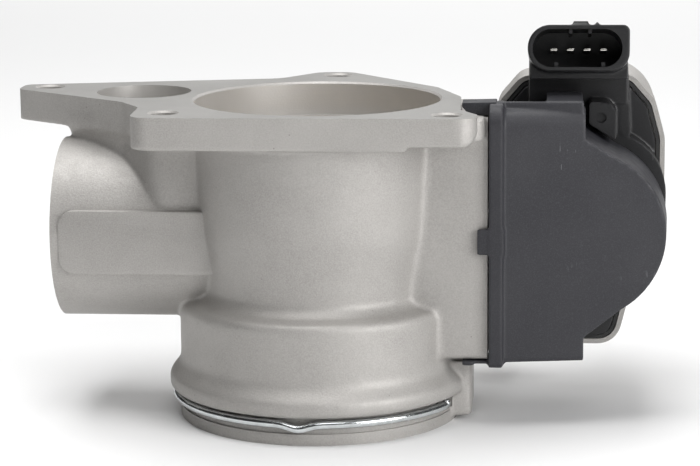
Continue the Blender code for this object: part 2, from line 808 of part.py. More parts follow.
def cut_housing_inside(body):
    outline = housing_outline()
    cut(body, prism("cover_seat", inset(outline, 1.2), "Y", RIM_Y - 1, 16.4))
    chamber = prism("chamber", inset(outline, 3.4), "Y", RIM_Y - 1, FLOOR_Y)
    for x, z in COVER_SCREWS:
        side = 45 if x < 55 else x - 4
        depth = 22.2 if z > 50 else 28
        low = z - 4 if z > 50 else 12
        high = 82 if z > 50 else z + 4
        cut(chamber, box("screw_block", (side, 16.4, low), (x + 4, depth, high)))
    cut(body, chamber)
    cut(body, cylinder("motor_bore", MOTOR_R + GAP, "Y", MOTOR, FLOOR_Y - 1, 58.0, 40))
    cut(body, cylinder("bush_bore", 5.25, "Y", APEX, FLOOR_Y - 1, 33.8, 28))
    cut(body, cylinder("axle_bore", 1.7, "Y", MIDDLE, FLOOR_Y - 1, 32.4, 20))


def actuator_housing():
    body = housing_solid()
    cut_housing_inside(body)
    for x, z in COVER_SCREWS:
        cut(body, cylinder("thread", 1.6, "Y", (x, z), 14, 21.6, 16))
    for y, z in ACTUATOR_SCREWS:
        deep = 46.6 if y < BACK_Y else 51
        cut(body, cylinder("thread", 2.2, "X", (y, z), 40, deep, 16))
    return finish(body, ALUMINIUM)


def cover_seal():
    outline = housing_outline()
    seal = prism("cover_seal", inset(outline, 1.4), "Y", RIM_Y + 0.1, 16.1)
    cut(seal, prism("seal_inside", inset(outline, 2.2), "Y", RIM_Y - 2, 18))
    return finish(seal, RUBBER)


def screws():
    for number, (y, z) in enumerate(ACTUATOR_SCREWS, 1):
        tip = 46.2 if y < BACK_Y else 49.5
        screw(f"actuator_screw_{number}", "X", (y, z), 33.2, tip, 2.0, 4.2, 4.0)
    for number, centre in enumerate(COVER_SCREWS, 1):
        screw(f"cover_screw_{number}", "Y", centre, 12.9, 21.2, 1.4, 2.7, 2.0)


# ---------------------------------------------------------------- cover with connector


def skirt_outer():
    lower = arc((63.9, 46.8), 21.1, -62, -4, 8)
    upper = arc((69.3, 53.4), 15.8, 0, 76, 8)
    return [(43.7, 17.2), (64.5, 17.2)] + lower + upper + [(74.0, 76.9), (43.7, 76.9)]


def skirt_inner():
    return [(45.6, 19.0), (66.0, 19.0)] + arc(APEX, 18.2, -58, 58, 14) + [(64.2, 74.9), (45.6, 74.9)]


def plug_drop(y):
    """How far the plug's parts lie below their height at its mouth, which they fall away from."""
    return PLUG_SLOPE * (y - PLUG_MOUTH)


def lean(obj):
    for vertex in obj.data.vertices:
        vertex.co.z -= plug_drop(vertex.co.y / MM) * MM
    return obj


def connector_shell():
    """The plug's stadium-shaped collar with its squared right end, keys and latch nib."""
    half = 12.15
    low = PLUG_Z - 5.6
    high = PLUG_Z + 5.6
    left = PLUG_X - half
    right = PLUG_X + half
    outline = rounded(((left, low, 5.4), (right, low, 4.5), (right, high, 1.6), (left, high, 5.4)), 6)
    shell = prism("shell", outline, "Y", PLUG_MOUTH, 14.0)
    join(shell, box("latch", (61.9, PLUG_MOUTH + 0.6, high - 1), (65.6, 4, high + 0.9)))
    join(shell, box("nib", (67.4, PLUG_MOUTH + 0.4, high - 1), (67.9, PLUG_MOUTH + 1.2, high + 0.7)))
    return lean(shell)


def plug_cavity():
    half = 11.0
    low = PLUG_Z - 4.6
    high = PLUG_Z + 4.6
    outline = rounded(
        (
            (PLUG_X - half, low, 4.5),
            (PLUG_X + half - 0.6, low, 4.5),
            (PLUG_X + half - 0.6, high, 4.5),
            (PLUG_X - half, high, 4.5),
        ),
        6,
    )
    cavity = prism("cavity", outline, "Y", PLUG_MOUTH - 1, 8.0)
    for x in (58.0, 69.2):
        cut(cavity, box("rib", (x - 0.45, PLUG_MOUTH + 0.8, low - 1), (x + 0.45, 9, low + 1.2)))
    for x in (61.4, 66.0):
        cut(cavity, box("key", (x - 0.4, PLUG_MOUTH + 2.0, high - 1.0), (x + 0.4, 9, high + 1)))
    return lean(cavity)


def pin_slot(pin):
    x = pin_x(pin)
    half = PIN_HALF_T + GAP
    return lean(box("pin_slot", (x - 0.8 - GAP, 7, PLUG_Z - half), (x + 0.8 + GAP, 11, PLUG_Z + half)))


def cover():
    """Cover plate, skirt, screw bosses and connector, moulded in one piece."""
    body = prism("cover", inset(housing_outline(), 2.5), "Y", 13.2, 16.0)
    skirt = prism("skirt", skirt_outer(), "Y", SKIRT_FRONT, RIM_Y - GAP)
    cut(skirt, prism("skirt_inside", skirt_inner(), "Y", 5, 13.2))
    cut(skirt, box("gear_window", (40, 5, 32), (48, 13.2, 62)))
    join(body, skirt)
    boss = rounded(((66.0, 71.9, 0.5), (72.6, 67.9, 0.5), (72.6, 77.4, 3.6), (66.0, 77.4, 0.6)), 3)
    join(body, prism("boss", boss, "Y", -1.5, 12))
    left_leg = rounded(((51.4, 75.0, 0.5), (54.6, 75.0, 0.5), (55.6, 86.5, 0.5), (51.4, 86.5, 0.5)), 1)
    right_leg = rounded(((73.6, 68.6, 1), (76.4, 66.6, 1), (75.4, 86.5, 0.5), (72.8, 86.5, 0.5)), 2)
    join(body, prism("left_leg", left_leg, "Y", 6.2, 14.0), prism("right_leg", right_leg, "Y", 6.2, 14.0))
    join(body, box("neck", (51.4, 6.2, 76.0), (75.2, 14.05, 87.0)))
    join(body, box("bridge", (51.9, -1.5, 82.9), (75.1, 12.0, 87.0)))
    join(body, connector_shell())
    cut(body, plug_cavity())
    cut(body, box("terminal_shaft", (56.0, 10.2, 72.5), (70.8, 12.6, 90.0)))
    cut(body, box("terminal_way_out", (56.0, 10.2, 72.5), (70.8, 18, 77.5)))
    for pin in range(4):
        cut(body, pin_slot(pin))
    cut(body, cylinder("output_hole", 4.95, "Y", APEX, 10, 20, 28))
    cut(body, cylinder("dimple", 1.3, "Y", (68.9, 73.6), -3, -0.7, 16))
    for centre in COVER_SCREWS:
        cut(body, cylinder("screw_hole", 1.7, "Y", centre, 10, 20, 16))
    return finish(body, BLACK_PLASTIC)


def pin_x(pin):
    return PLUG_X + 0.05 + (pin - 1.5) * PIN_PITCH


def terminals():
    """Four flat pins: forward into the plug, down inside the neck and back to the circuit board."""
    tip, bend, rear, low = 0.6, 11.1, 16.1, 74.8
    thick = 2 * PIN_HALF_T
    tip_z = PLUG_Z - plug_drop(tip)
    bend_z = PLUG_Z - plug_drop(bend)
    outline = [(tip, tip_z + PIN_HALF_T), (bend + thick, bend_z + PIN_HALF_T), (bend + thick, low + thick)]
    outline += [(rear, low + thick), (rear, low), (bend, low), (bend, bend_z - PIN_HALF_T)]
    outline += [(tip, tip_z - PIN_HALF_T)]
    for pin in range(4):
        middle = pin_x(pin)
        finish(prism(f"terminal_{pin + 1}", outline, "X", middle - 0.8, middle + 0.8), TIN)


def sensor_board():
    outline = ((56.0, 63.6), (60.4, 63.6), (60.4, 54.0), (67.6, 54.0), (67.6, 63.6))
    outline += ((76.0, 63.6), (76.0, 77.0), (56.0, 77.0))
    finish(prism("sensor_board", outline, "Y", 16.4, 17.3), BOARD_GREEN)
    finish(box("position_sensor", (62.2, 17.45, 54.6), (65.6, 18.3, 58.2)), BLACK_PLASTIC)


# ---------------------------------------------------------------- bevel gear hood


def hood_front(x):
    """The front face recedes towards the right."""
    return -18.0 + 0.153 * (x - 42.3)


def hood_profile(x, shrink):
    """The box part's section across X, with a round top front edge and a top that falls to the back."""
    front = hood_front(x) + shrink
    low = 16.3 + shrink
    high = 78.0 - shrink
    back = HOOD_BACK + shrink
    corners = [(back, low, 0.1), (front, low, 1.2), (front, high, 4.2 - shrink), (back, high - HOOD_DROP, 0.1)]
    return [(x, y, z) for y, z in rounded(corners, 5)]


def bulge_outline(grow, left):
    """The D-shaped part of the hood that covers the large bevel gear."""
    outline = [(left, 22.3 - grow)] + [(65.2, 22.3 - grow)]
    outline += arc((63.9, 46.8), 20.6 + grow, -62, 66, 20)
    outline += [(65.2, 70.2 + grow), (left, 70.2 + grow)]
    return outline


def bulge(name, grow, depth, left, back):
    front_loop = [(x, hood_front(x) + depth, z) for x, z in bulge_outline(grow, left)]
    back_loop = [(x, back, z) for x, z in bulge_outline(grow + 0.9, left)]
    return loft(name, [front_loop, back_loop])


def hood_clips():
    """Edge strip, hooks and tongues that hold the hood on the block and the cover."""
    back = HOOD_BACK - 0.4
    corners = ((back, 15.2, 0.1), (-18.6, 15.2, 1.2), (-18.6, 79.2, 4.4), (back, 79.2 - HOOD_DROP, 0.1))
    section = rounded(corners, 5)
    strip = prism("strip", section, "X", BLOCK_X + GAP, 45.7)
    rail = box("rail", (44, -13.6, 76.2), (64.6, -12.2, 79.1))
    top = box("top_tongue", (55.8, -12.9, 76.7), (64.4, 3.0, 79.3))
    hook = prism("top_hook", ((35.8, 78.9), (46, 79.1), (46, 75.9), (37.6, 75.9), (35.8, 77.9)), "Y", -14, -8)
    side = box("side_hook", (39.6, -18.4, 42.9), (46, -17.3, 49.2))
    low = box("low_tongue", (36.2, -16.8, 15.9), (46, -9.0, 16.7))
    tab = box("low_tab", (36.0, -17.6, 15.6), (38.6, -9.0, 16.7))
    join(strip, rail, top, hook, side, low, tab)
    return strip


def hood():
    body = loft("hood", [hood_profile(x, 0) for x in (BLOCK_X + GAP, 65.0)])
    join(body, bulge("bulge", 0.0, 0.0, 58.0, HOOD_BACK), hood_clips())
    cut(body, loft("hood_inside", [hood_profile(x, HOOD_WALL) for x in (BLOCK_X - 2, 63.1)]))
    cut(body, bulge("bulge_inside", -HOOD_WALL, HOOD_WALL, 57.0, HOOD_BACK + 2))
    return finish(body, GREY_PLASTIC)


# ---------------------------------------------------------------- assembly


def add_joint_empty(name, location):
    empty = bpy.data.objects.new(name, None)
    empty.location = Vector(location) * MM
    bpy.context.scene.collection.objects.link(empty)
    return empty


MOVING = {
    "throttle_axis": (
        (0, 0, SHAFT_Z),
        (
            "throttle_shaft",
            "throttle_plate",
            "plate_screw_1",
            "plate_screw_2",
            "bearing_inner_ring",
            "driven_bevel_gear",
            "shaft_nut",
        ),
    ),
    "output_axis": (
        (APEX[0], 0, APEX[1]),
        ("output_shaft", "driving_bevel_gear", "output_gear", "position_magnet"),
    ),
    "intermediate_axis": ((MIDDLE[0], 0, MIDDLE[1]), ("intermediate_gear",)),
    "motor_axis": (
        (MOTOR[0], 0, MOTOR[1]),
        ("motor_pinion", "rotor_shaft", "rotor_core", "commutator"),
    ),
}


def carry_moving_pieces():
    """Gives each turning group an empty on its axis."""
    for name, (location, pieces) in MOVING.items():
        empty = add_joint_empty(name, location)
        for piece in pieces:
            obj = bpy.data.objects[piece]
            obj.parent = empty
            obj.matrix_parent_inverse = Matrix.Translation(-empty.location)


def stand_on_floor():
    """Puts the world origin under the middle of the body."""
    solids = [obj for obj in bpy.data.objects if obj.type == "MESH"]
    corners = [vertex.co for obj in solids for vertex in obj.data.vertices]
    low = Vector([min(corner[axis] for corner in corners) for axis in range(3)])
    high = Vector([max(corner[axis] for corner in corners) for axis in range(3)])
    frame = bpy.data.objects.new("throttle_body", None)
    bpy.context.scene.collection.objects.link(frame)
    for obj in bpy.data.objects:
        if obj.parent is None and obj is not frame:
            obj.parent = frame
    frame.location = (-(low.x + high.x) / 2, -(low.y + high.y) / 2, -low.z)
    print("frame location in mm", [round(value / MM, 3) for value in frame.location])


def build():
    clear_scene()
    casting()
    wire_clip()
    socket_seal()
    throttle_shaft()
    throttle_plate()
    plate_screws()
    shaft_supports()
    bearing_balls()
    return_spring()
    driven_bevel_gear()
    shaft_nut()
    driving_bevel_gear()
    output_shaft()
    output_gear()
    output_supports()
    intermediate_gear()
    intermediate_axle()
    motor_pinion()
    rotor()
    motor_shell()
    motor_magnets()
    brushes()
    actuator_housing()
    cover_seal()
    screws()
    cover()
    terminals()
    sensor_board()
    hood()
    carry_moving_pieces()
    stand_on_floor()


build()
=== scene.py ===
"""Looks of a motor-driven throttle body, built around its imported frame.

Shapes are made in millimetres in the design frame: its origin is on the main bore's axis at the lower rim,
X runs to the actuator, Y to the back and Z up the bore. add_piece() turns them into metres in the frame.
"""

import json
import math

import bmesh
import bpy
from mathutils import Matrix, Vector


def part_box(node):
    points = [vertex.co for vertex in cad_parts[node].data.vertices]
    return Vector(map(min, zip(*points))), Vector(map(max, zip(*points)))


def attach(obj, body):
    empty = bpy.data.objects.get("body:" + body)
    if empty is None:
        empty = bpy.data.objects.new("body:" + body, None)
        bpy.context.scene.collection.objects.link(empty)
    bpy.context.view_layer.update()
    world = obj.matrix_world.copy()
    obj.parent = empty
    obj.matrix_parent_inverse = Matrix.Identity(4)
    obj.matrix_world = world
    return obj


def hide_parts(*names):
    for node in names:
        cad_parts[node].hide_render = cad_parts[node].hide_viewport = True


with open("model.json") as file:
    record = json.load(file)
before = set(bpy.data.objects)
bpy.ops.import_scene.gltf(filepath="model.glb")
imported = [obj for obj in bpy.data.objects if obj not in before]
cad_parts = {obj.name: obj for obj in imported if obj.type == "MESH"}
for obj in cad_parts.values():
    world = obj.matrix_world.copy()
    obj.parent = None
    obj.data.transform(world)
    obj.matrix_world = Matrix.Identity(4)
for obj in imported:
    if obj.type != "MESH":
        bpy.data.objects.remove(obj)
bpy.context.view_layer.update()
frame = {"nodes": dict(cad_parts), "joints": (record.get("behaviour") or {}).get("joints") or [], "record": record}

MM = 0.001

# Axes and places from the frame, in millimetres
JOINTS = {joint["name"]: Vector(joint["pos_m"]) / MM for joint in frame["joints"]}
SHAFT_Z = JOINTS["throttle_turn"].z
ORIGIN = JOINTS["throttle_turn"] - Vector((0, 0, SHAFT_Z))
APEX = tuple((JOINTS["output_turn"] - ORIGIN).xz)
MIDDLE = tuple((JOINTS["intermediate_turn"] - ORIGIN).xz)
MOTOR = tuple((JOINTS["motor_turn"] - ORIGIN).xz)


def node_box(node):
    """Lowest and highest corner of a CAD node in the design frame."""
    low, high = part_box(node)
    return low / MM - ORIGIN, high / MM - ORIGIN


# Main duct and flange
HEIGHT = node_box("casting")[1].z
FLANGE_T = 7.8
FLANGE_THIN_T = 6.7
BORE_TOP_R = 30.0
BORE_TOP_Z = HEIGHT - 8.4
THROAT_R = 26.5
THROAT_LOW = 36.0
THROAT_HIGH = 58.0
SOCKET_R = 31.0
SOCKET_DEPTH = 24.0
GROOVE_R = 34.2
GROOVE_LOW = 2.8
GROOVE_HIGH = 7.0
CLIP_SLOT_ANGLES = (192, -24)
SEAL_GROOVE_R = 32.6
SEAL_LOW = 14.0
SEAL_HIGH = 18.0
SEAL_CORD_R = 1.15
FLANGE_HOLE_R = 3.3
FLANGE_HOLES = ((-70.0, 19.4), (-33.8, -25.9), (32.8, -27.7), (1.2, 43.3))

# Wire clip, with angles in degrees from the X axis
CLIP_R = 35.6
CLIP_WIRE_R = 1.05
CLIP_Z = 5.0
CLIP_START = -26
CLIP_SWEEP = 313
CLIP_STEPS = 220
CLIP_DIP_ANGLE = -93
CLIP_DIP_WIDTH = 5.0
CLIP_DIP_DEPTH = 1.1
CLIP_TILT = 0.25

# Side duct
PORT_END = -63.8
PORT_Y = 5.5
PORT_Z = 44.9
PORT_R = 22.25
PORT_WALL = 2.8
RISER = (-44.5, 10.9)
RISER_R = 11.75
PAD_Y = -16.9

# Throttle shaft and plate
SHAFT_R = 4.0
PLATE_R = 26.2
PLATE_T = 1.4
PLATE_SCREWS = (-9.5, 9.5)
PLATE_SCREW_HOLE_R = 1.9
BUSH_SEAT_R = 6.2
BLOCK_X = 42.0
BLOCK_TOP = 75.5

# Actuator
RIM_Y = 14.4
FLOOR_Y = 26.8
BACK_Y = 30.4
MOTOR_BACK = 61.3
ACTUATOR_SCREWS = ((38.5, 28.5), (38.5, 65.5), (26.5, 47.0))
COVER_SCREWS = ((50.0, 71.0), (50.0, 24.0), (61.5, 23.3))
CASTING_SCREW_HOLE_R = 2.8
HOUSING_SCREW_HOLE_R = 2.2
COVER_SCREW_HOLE_R = 1.7
COVER_SCREW_CORE_R = 1.6
GAP = 0.3

# Hood
HOOD_BACK = 5.8
HOOD_DROP = 2.5
HOOD_WALL = 2.0

# Electrical connector
PLUG_X = 63.3
PLUG_Z = 90.9
PLUG_MOUTH = -5.0
PLUG_SLOPE = 0.195
PLUG_HALF_H = 5.6
CAVITY_HALF_H = 4.6
PIN_COUNT = 4
PIN_PITCH = 4.0
PIN_HALF_W = 0.8
PIN_HALF_T = 0.3

# Meshing of moulded and cast shapes
CAST_VOXEL = 0.55
HOUSING_VOXEL = 0.6
HOOD_VOXEL = 0.36
COVER_VOXEL = 0.3
ROUND_STEPS = 160

# Numbers of the casting's extra material slots
BORED = 1
FACED = 2

# Stage, in metres and watts: each light's place, width and height, and power
FLOOR_HALF = 6
FLOOR_WHITE = 0.82
LIGHT_TARGET = (0, 0, 0.045)
LIGHTS = {
    "key": ((0.76, -0.58, 0.34), (0.5, 0.6), 7.5),
    "front": ((0.1, -0.75, 0.75), (0.5, 0.4), 1.6),
    "top": ((-0.08, 0.0, 0.9), (0.8, 0.6), 9),
    "back": ((0.3, 0.9, 0.5), (0.9, 0.7), 0.5),
}
BACKDROP_LIGHT = ((0, 1.6, 1.0), (3.0, 1.2), 26)
BACKDROP_TARGET = (0, 1.6, 0)
WORLD_STRENGTH = 0.03

# The photograph's view: place in millimetres, angles in radians, lens for a 36 mm sensor
CAMERA_PLACE = (57.21, -576.02, 158.73)
CAMERA_HEADING = 0.085714
CAMERA_PITCH = 0.195096
CAMERA_ROLL = -0.009013
CAMERA_LENS = 123.07
CAMERA_SENSOR = 36.0


# ---------------------------------------------------------------- modelling helpers


def along_axis(axis, a, b, along):
    """A point from its two coordinates across an axis and its distance along it."""
    if axis == "X":
        return (along, a, b)
    if axis == "Y":
        return (a, along, b)
    return (a, b, along)


def solid(points, faces):
    """A closed mesh object in millimetres with its faces turned outwards."""
    mesh = bpy.data.meshes.new("solid")
    mesh.from_pydata([tuple(point) for point in points], [], faces)
    shape = bmesh.new()
    shape.from_mesh(mesh)
    bmesh.ops.remove_doubles(shape, verts=shape.verts, dist=1e-4)
    bmesh.ops.recalc_face_normals(shape, faces=shape.faces)
    shape.to_mesh(mesh)
    shape.free()
    obj = bpy.data.objects.new("solid", mesh)
    bpy.context.scene.collection.objects.link(obj)
    return obj


def loft(loops):
    """Skins loops of equally many points and caps both ends."""
    count = len(loops[0])
    points = [point for loop in loops for point in loop]
    faces = [tuple(range(count)), tuple(range(len(points) - count, len(points)))]
    for ring_number in range(len(loops) - 1):
        base = ring_number * count
        for i in range(count):
            j = (i + 1) % count
            faces.append((base + i, base + j, base + count + j, base + count + i))
    return solid(points, faces)


def prism(outline, axis, low, high):
    return loft([[along_axis(axis, a, b, level) for a, b in outline] for level in (low, high)])


def box(low, high):
    outline = ((low[0], low[1]), (high[0], low[1]), (high[0], high[1]), (low[0], high[1]))
    return prism(outline, "Z", low[2], high[2])


def turned(profile, axis, centre, steps=96, start=0.0):
    """Turns (radius, along) points about an axis: from axis to axis, or a closed ring profile."""
    count = len(profile)
    is_ring = profile[0][0] > 0
    points = []
    for step in range(steps):
        angle = start + 2 * math.pi * step / steps
        for radius, along in profile:
            a = centre[0] + radius * math.cos(angle)
            b = centre[1] + radius * math.sin(angle)
            points.append(along_axis(axis, a, b, along))
    faces = []
    for step in range(steps):
        here = step * count
        there = ((step + 1) % steps) * count
        for i in range(count if is_ring else count - 1):
            j = (i + 1) % count
            faces.append((here + i, here + j, there + j, there + i))
    return solid(points, faces)


def cylinder(radius, axis, centre, low, high, steps=64):
    return turned([(0, low), (radius, low), (radius, high), (0, high)], axis, centre, steps)


def arc(centre, radius, start, end, steps):
    """Points on an arc between two angles given in degrees."""
    found = []
    for step in range(steps + 1):
        angle = math.radians(start + (end - start) * step / steps)
        found.append((centre[0] + radius * math.cos(angle), centre[1] + radius * math.sin(angle)))
    return found


def rounded(corners, steps=8):
    """A closed outline from (x, y, radius) corners."""
    outline = []
    for i, (x, y, radius) in enumerate(corners):
        here = Vector((x, y))
        before = (Vector(corners[i - 1][:2]) - here).normalized()
        after = (Vector(corners[(i + 1) % len(corners)][:2]) - here).normalized()
        half = before.angle(after) / 2
        centre = here + (before + after).normalized() * (radius / math.sin(half))
        first = here + before * (radius / math.tan(half)) - centre
        last = here + after * (radius / math.tan(half)) - centre
        start = math.atan2(first.y, first.x)
        sweep = (math.atan2(last.y, last.x) - start + math.pi) % (2 * math.pi) - math.pi
        for step in range(steps + 1):
            angle = start + sweep * step / steps
            outline.append((centre.x + radius * math.cos(angle), centre.y + radius * math.sin(angle)))
    return outline


def inset(outline, distance):
    """The outline moved inwards, point by point."""
    area = sum(p[0] * q[1] - q[0] * p[1] for p, q in zip(outline, outline[1:] + outline[:1]))
    side = math.copysign(1.0, area)
    moved = []
    for i, point in enumerate(outline):
        before = (Vector(point) - Vector(outline[i - 1])).normalized()
        after = (Vector(outline[(i + 1) % len(outline)]) - Vector(point)).normalized()
        normal = Vector((-before.y - after.y, before.x + after.x)).normalized() * side
        stretch = max(normal.dot(Vector((-before.y, before.x))) * side, 0.5)
        moved.append(tuple(Vector(point) + normal * (distance / stretch)))
    return moved


def apply_modifiers(obj):
    """Replaces the object's mesh with what its modifiers make of it."""
    graph = bpy.context.evaluated_depsgraph_get()
    result = bpy.data.meshes.new_from_object(obj.evaluated_get(graph))
    old = obj.data
    obj.modifiers.clear()
    obj.data = result
    bpy.data.meshes.remove(old)


def boolean(target, other, operation):
    modifier = target.modifiers.new(operation.lower(), "BOOLEAN")
    modifier.operation = operation
    modifier.object = other
    modifier.solver = "MANIFOLD"
    apply_modifiers(target)
    bpy.data.objects.remove(other, do_unlink=True)


def cut(target, *cutters):
    for cutter in cutters:
        boolean(target, cutter, "DIFFERENCE")
    return target


def join(target, *others):
    for other in others:
        boolean(target, other, "UNION")
    return target


def fuse(shapes, voxel, smoothing):
    """Melts overlapping solids into one skin whose edges are rounded by the smoothing."""
    shape = bmesh.new()
    for obj in shapes:
        shape.from_mesh(obj.data)
        bpy.data.objects.remove(obj, do_unlink=True)
    mesh = bpy.data.meshes.new("fused")
    shape.to_mesh(mesh)
    shape.free()
    fused = bpy.data.objects.new("fused", mesh)
    bpy.context.scene.collection.objects.link(fused)
    remesh = fused.modifiers.new("skin", "REMESH")
    remesh.mode = "VOXEL"
    remesh.voxel_size = voxel
    smooth = fused.modifiers.new("round", "SMOOTH")
    smooth.factor = 0.5
    smooth.iterations = smoothing
    apply_modifiers(fused)
    return fused


def round_edges(obj, width, segments=3, angle=30):
    modifier = obj.modifiers.new("edges", "BEVEL")
    modifier.width = width
    modifier.segments = segments
    modifier.limit_method = "ANGLE"
    modifier.angle_limit = math.radians(angle)
    apply_modifiers(obj)
    return obj


def wire(path, radius, sides=16):
    """A round wire along a path of 3-D points, with rounded ends."""
    points = [Vector(point) for point in path]
    across = (points[1] - points[0]).orthogonal().normalized()
    loops = []
    angles = [2 * math.pi * side / sides for side in range(sides)]
    for i, point in enumerate(points):
        ahead = (points[min(i + 1, len(points) - 1)] - points[max(i - 1, 0)]).normalized()
        across = (across - ahead * across.dot(ahead)).normalized()
        up = ahead.cross(across)
        reach = radius * (0.7 if i in (0, len(points) - 1) else 1.0)
        loops.append([point + (across * math.cos(a) + up * math.sin(a)) * reach for a in angles])
    return loft(loops)


def add_piece(obj, name, body, slot, nodes, sharp=32.0):
    """Turns a finished shape into a named piece in the frame that stands for its CAD nodes."""
    obj.name = name
    obj.data.name = name
    obj.data.transform(Matrix.Translation(ORIGIN * MM) @ Matrix.Scale(MM, 4))
    obj.data.shade_smooth()
    obj.data.set_sharp_from_angle(angle=math.radians(sharp))
    obj.data.materials.clear()
    obj.data.materials.append(MATERIALS[slot])
    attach(obj, body)
    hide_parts(*nodes)
    return obj


# ---------------------------------------------------------------- materials


class Recipe:
    """A node material under construction. Textures use object coordinates, so their scale is per metre."""

    def __init__(self, name, metallic=0.0):
        self.material = bpy.data.materials.new(name)
        self.material.use_nodes = True
        self.tree = self.material.node_tree
        self.shader = self.tree.nodes["Principled BSDF"]
        self.shader.inputs["Metallic"].default_value = metallic
        self.place = self.tree.nodes.new("ShaderNodeTexCoord").outputs["Object"]
        self.normal = None

    def add(self, kind, **values):
        node = self.tree.nodes.new(kind)
        for key, value in values.items():
            setattr(node, key, value)
        return node

    def link(self, output, node_input):
        self.tree.links.new(output, node_input)

    def stretched(self, scale):
        """Object coordinates scaled differently along each axis."""
        node = self.add("ShaderNodeMapping")
        node.inputs["Scale"].default_value = scale
        self.link(self.place, node.inputs["Vector"])
        return node.outputs["Vector"]

    def noise(self, scale, detail=3.0, roughness=0.55, place=None):
        node = self.add("ShaderNodeTexNoise")
        node.inputs["Scale"].default_value = scale
        node.inputs["Detail"].default_value = detail
        node.inputs["Roughness"].default_value = roughness
        self.link(place or self.place, node.inputs["Vector"])
        return node.outputs["Fac"]

    def cells(self, scale, place=None):
        node = self.add("ShaderNodeTexVoronoi")
        node.inputs["Scale"].default_value = scale
        self.link(place or self.place, node.inputs["Vector"])
        return node.outputs["Distance"]

    def ramp(self, value, low, high, to_low, to_high):
        node = self.add("ShaderNodeMapRange")
        node.inputs["From Min"].default_value = low
        node.inputs["From Max"].default_value = high
        node.inputs["To Min"].default_value = to_low
        node.inputs["To Max"].default_value = to_high
        self.link(value, node.inputs["Value"])
        return node.outputs["Result"]

    def mix(self, share, first, second):
        """A colour between two, which are colours or another node's output."""
        node = self.add("ShaderNodeMix", data_type="RGBA")
        self.link(share, node.inputs["Factor"])
        for colour, socket in ((first, node.inputs["A"]), (second, node.inputs["B"])):
            if isinstance(colour, tuple):
                socket.default_value = (*colour, 1.0)
            else:
                self.link(colour, socket)
        return node.outputs["Result"]

    def both(self, first, second):
        """The product of two shares."""
        node = self.add("ShaderNodeMath", operation="MULTIPLY")
        self.link(first, node.inputs[0])
        self.link(second, node.inputs[1])
        return node.outputs[0]

    def bump(self, height, strength, depth):
        node = self.add("ShaderNodeBump")
        node.inputs["Strength"].default_value = strength
        node.inputs["Distance"].default_value = depth
        self.link(height, node.inputs["Height"])
        if self.normal:
            self.link(self.normal, node.inputs["Normal"])
        self.normal = node.outputs["Normal"]

    def finish(self, colour, roughness):
        self.link(colour, self.shader.inputs["Base Color"])
        self.link(roughness, self.shader.inputs["Roughness"])
        if self.normal:
            self.link(self.normal, self.shader.inputs["Normal"])
        return self.material


def cast_aluminium():
    """Blasted casting: fine grain, soft stains and a few dark pores."""
    recipe = Recipe("cast_aluminium", 0.4)
    blotch = recipe.ramp(recipe.noise(55, 4), 0.35, 0.7, 0, 1)
    colour = recipe.mix(blotch, (0.34, 0.326, 0.31), (0.4, 0.385, 0.367))
    stain = recipe.ramp(recipe.noise(34, 3), 0.6, 0.72, 0, 0.4)
    colour = recipe.mix(stain, colour, (0.27, 0.258, 0.243))
    speck = recipe.ramp(recipe.noise(3000, 2), 0.3, 0.72, 0, 0.6)
    colour = recipe.mix(speck, colour, (0.5, 0.486, 0.468))
    pore = recipe.ramp(recipe.cells(330), 0.07, 0.04, 0, 1)
    rare = recipe.ramp(recipe.noise(90, 1), 0.56, 0.62, 0, 0.7)
    colour = recipe.mix(recipe.both(pore, rare), colour, (0.16, 0.15, 0.14))
    recipe.bump(recipe.noise(60, 2), 0.3, 0.0006)
    recipe.bump(recipe.noise(900, 3), 0.4, 0.00014)
    recipe.bump(recipe.noise(2600, 2), 0.55, 0.00008)
    return recipe.finish(colour, recipe.ramp(recipe.noise(300, 3), 0.3, 0.7, 0.5, 0.6))


def machined_aluminium(name, darker, lighter, metallic):
    """Cut faces and bores, with faint tool marks."""
    recipe = Recipe(name, metallic)
    colour = recipe.mix(recipe.noise(70, 3), darker, lighter)
    marks = recipe.noise(900, 2, place=recipe.stretched((0.05, 0.05, 6.0)))
    recipe.bump(marks, 0.25, 0.00004)
    recipe.bump(recipe.noise(2300, 2), 0.45, 0.00007)
    return recipe.finish(colour, recipe.ramp(marks, 0.3, 0.7, 0.4, 0.5))


def steel(name, colour, roughness):
    """Bare or plated metal of any colour, with faint uneven wear."""
    recipe = Recipe(name, 1.0)
    dark = tuple(channel * 0.8 for channel in colour)
    tone = recipe.mix(recipe.ramp(recipe.noise(400, 4), 0.3, 0.7, 0, 1), dark, colour)
    recipe.bump(recipe.noise(3000, 2), 0.2, 0.00003)
    wear = recipe.ramp(recipe.noise(700, 3), 0.3, 0.7, roughness - 0.06, roughness + 0.08)
    return recipe.finish(tone, wear)


def plastic(name, colour, lighter, roughness, scratch_share):
    """Moulded plastic with fine spark-eroded grain, faint handling marks and light scratches."""
    recipe = Recipe(name)
    recipe.shader.inputs["Specular IOR Level"].default_value = 0.35
    haze = recipe.ramp(recipe.noise(45, 3), 0.35, 0.75, 0, 1)
    tone = recipe.mix(haze, colour, lighter)
    speck = recipe.ramp(recipe.noise(3500, 1), 0.45, 0.8, 0, 0.35)
    tone = recipe.mix(speck, tone, tuple(2.2 * channel for channel in lighter))
    lines = recipe.noise(1300, 1, place=recipe.stretched((1.0, 1.0, 0.2)))
    patch = recipe.ramp(recipe.noise(60, 1), 0.6, 0.66, 0, scratch_share)
    thin = recipe.ramp(lines, 0.705, 0.73, 0, 1)
    tone = recipe.mix(recipe.both(thin, patch), tone, (0.16, 0.16, 0.17))
    recipe.bump(recipe.noise(2400, 2), 0.3, 0.00003)
    wear = recipe.ramp(recipe.noise(350, 3), 0.3, 0.7, roughness - 0.05, roughness + 0.07)
    return recipe.finish(tone, wear)


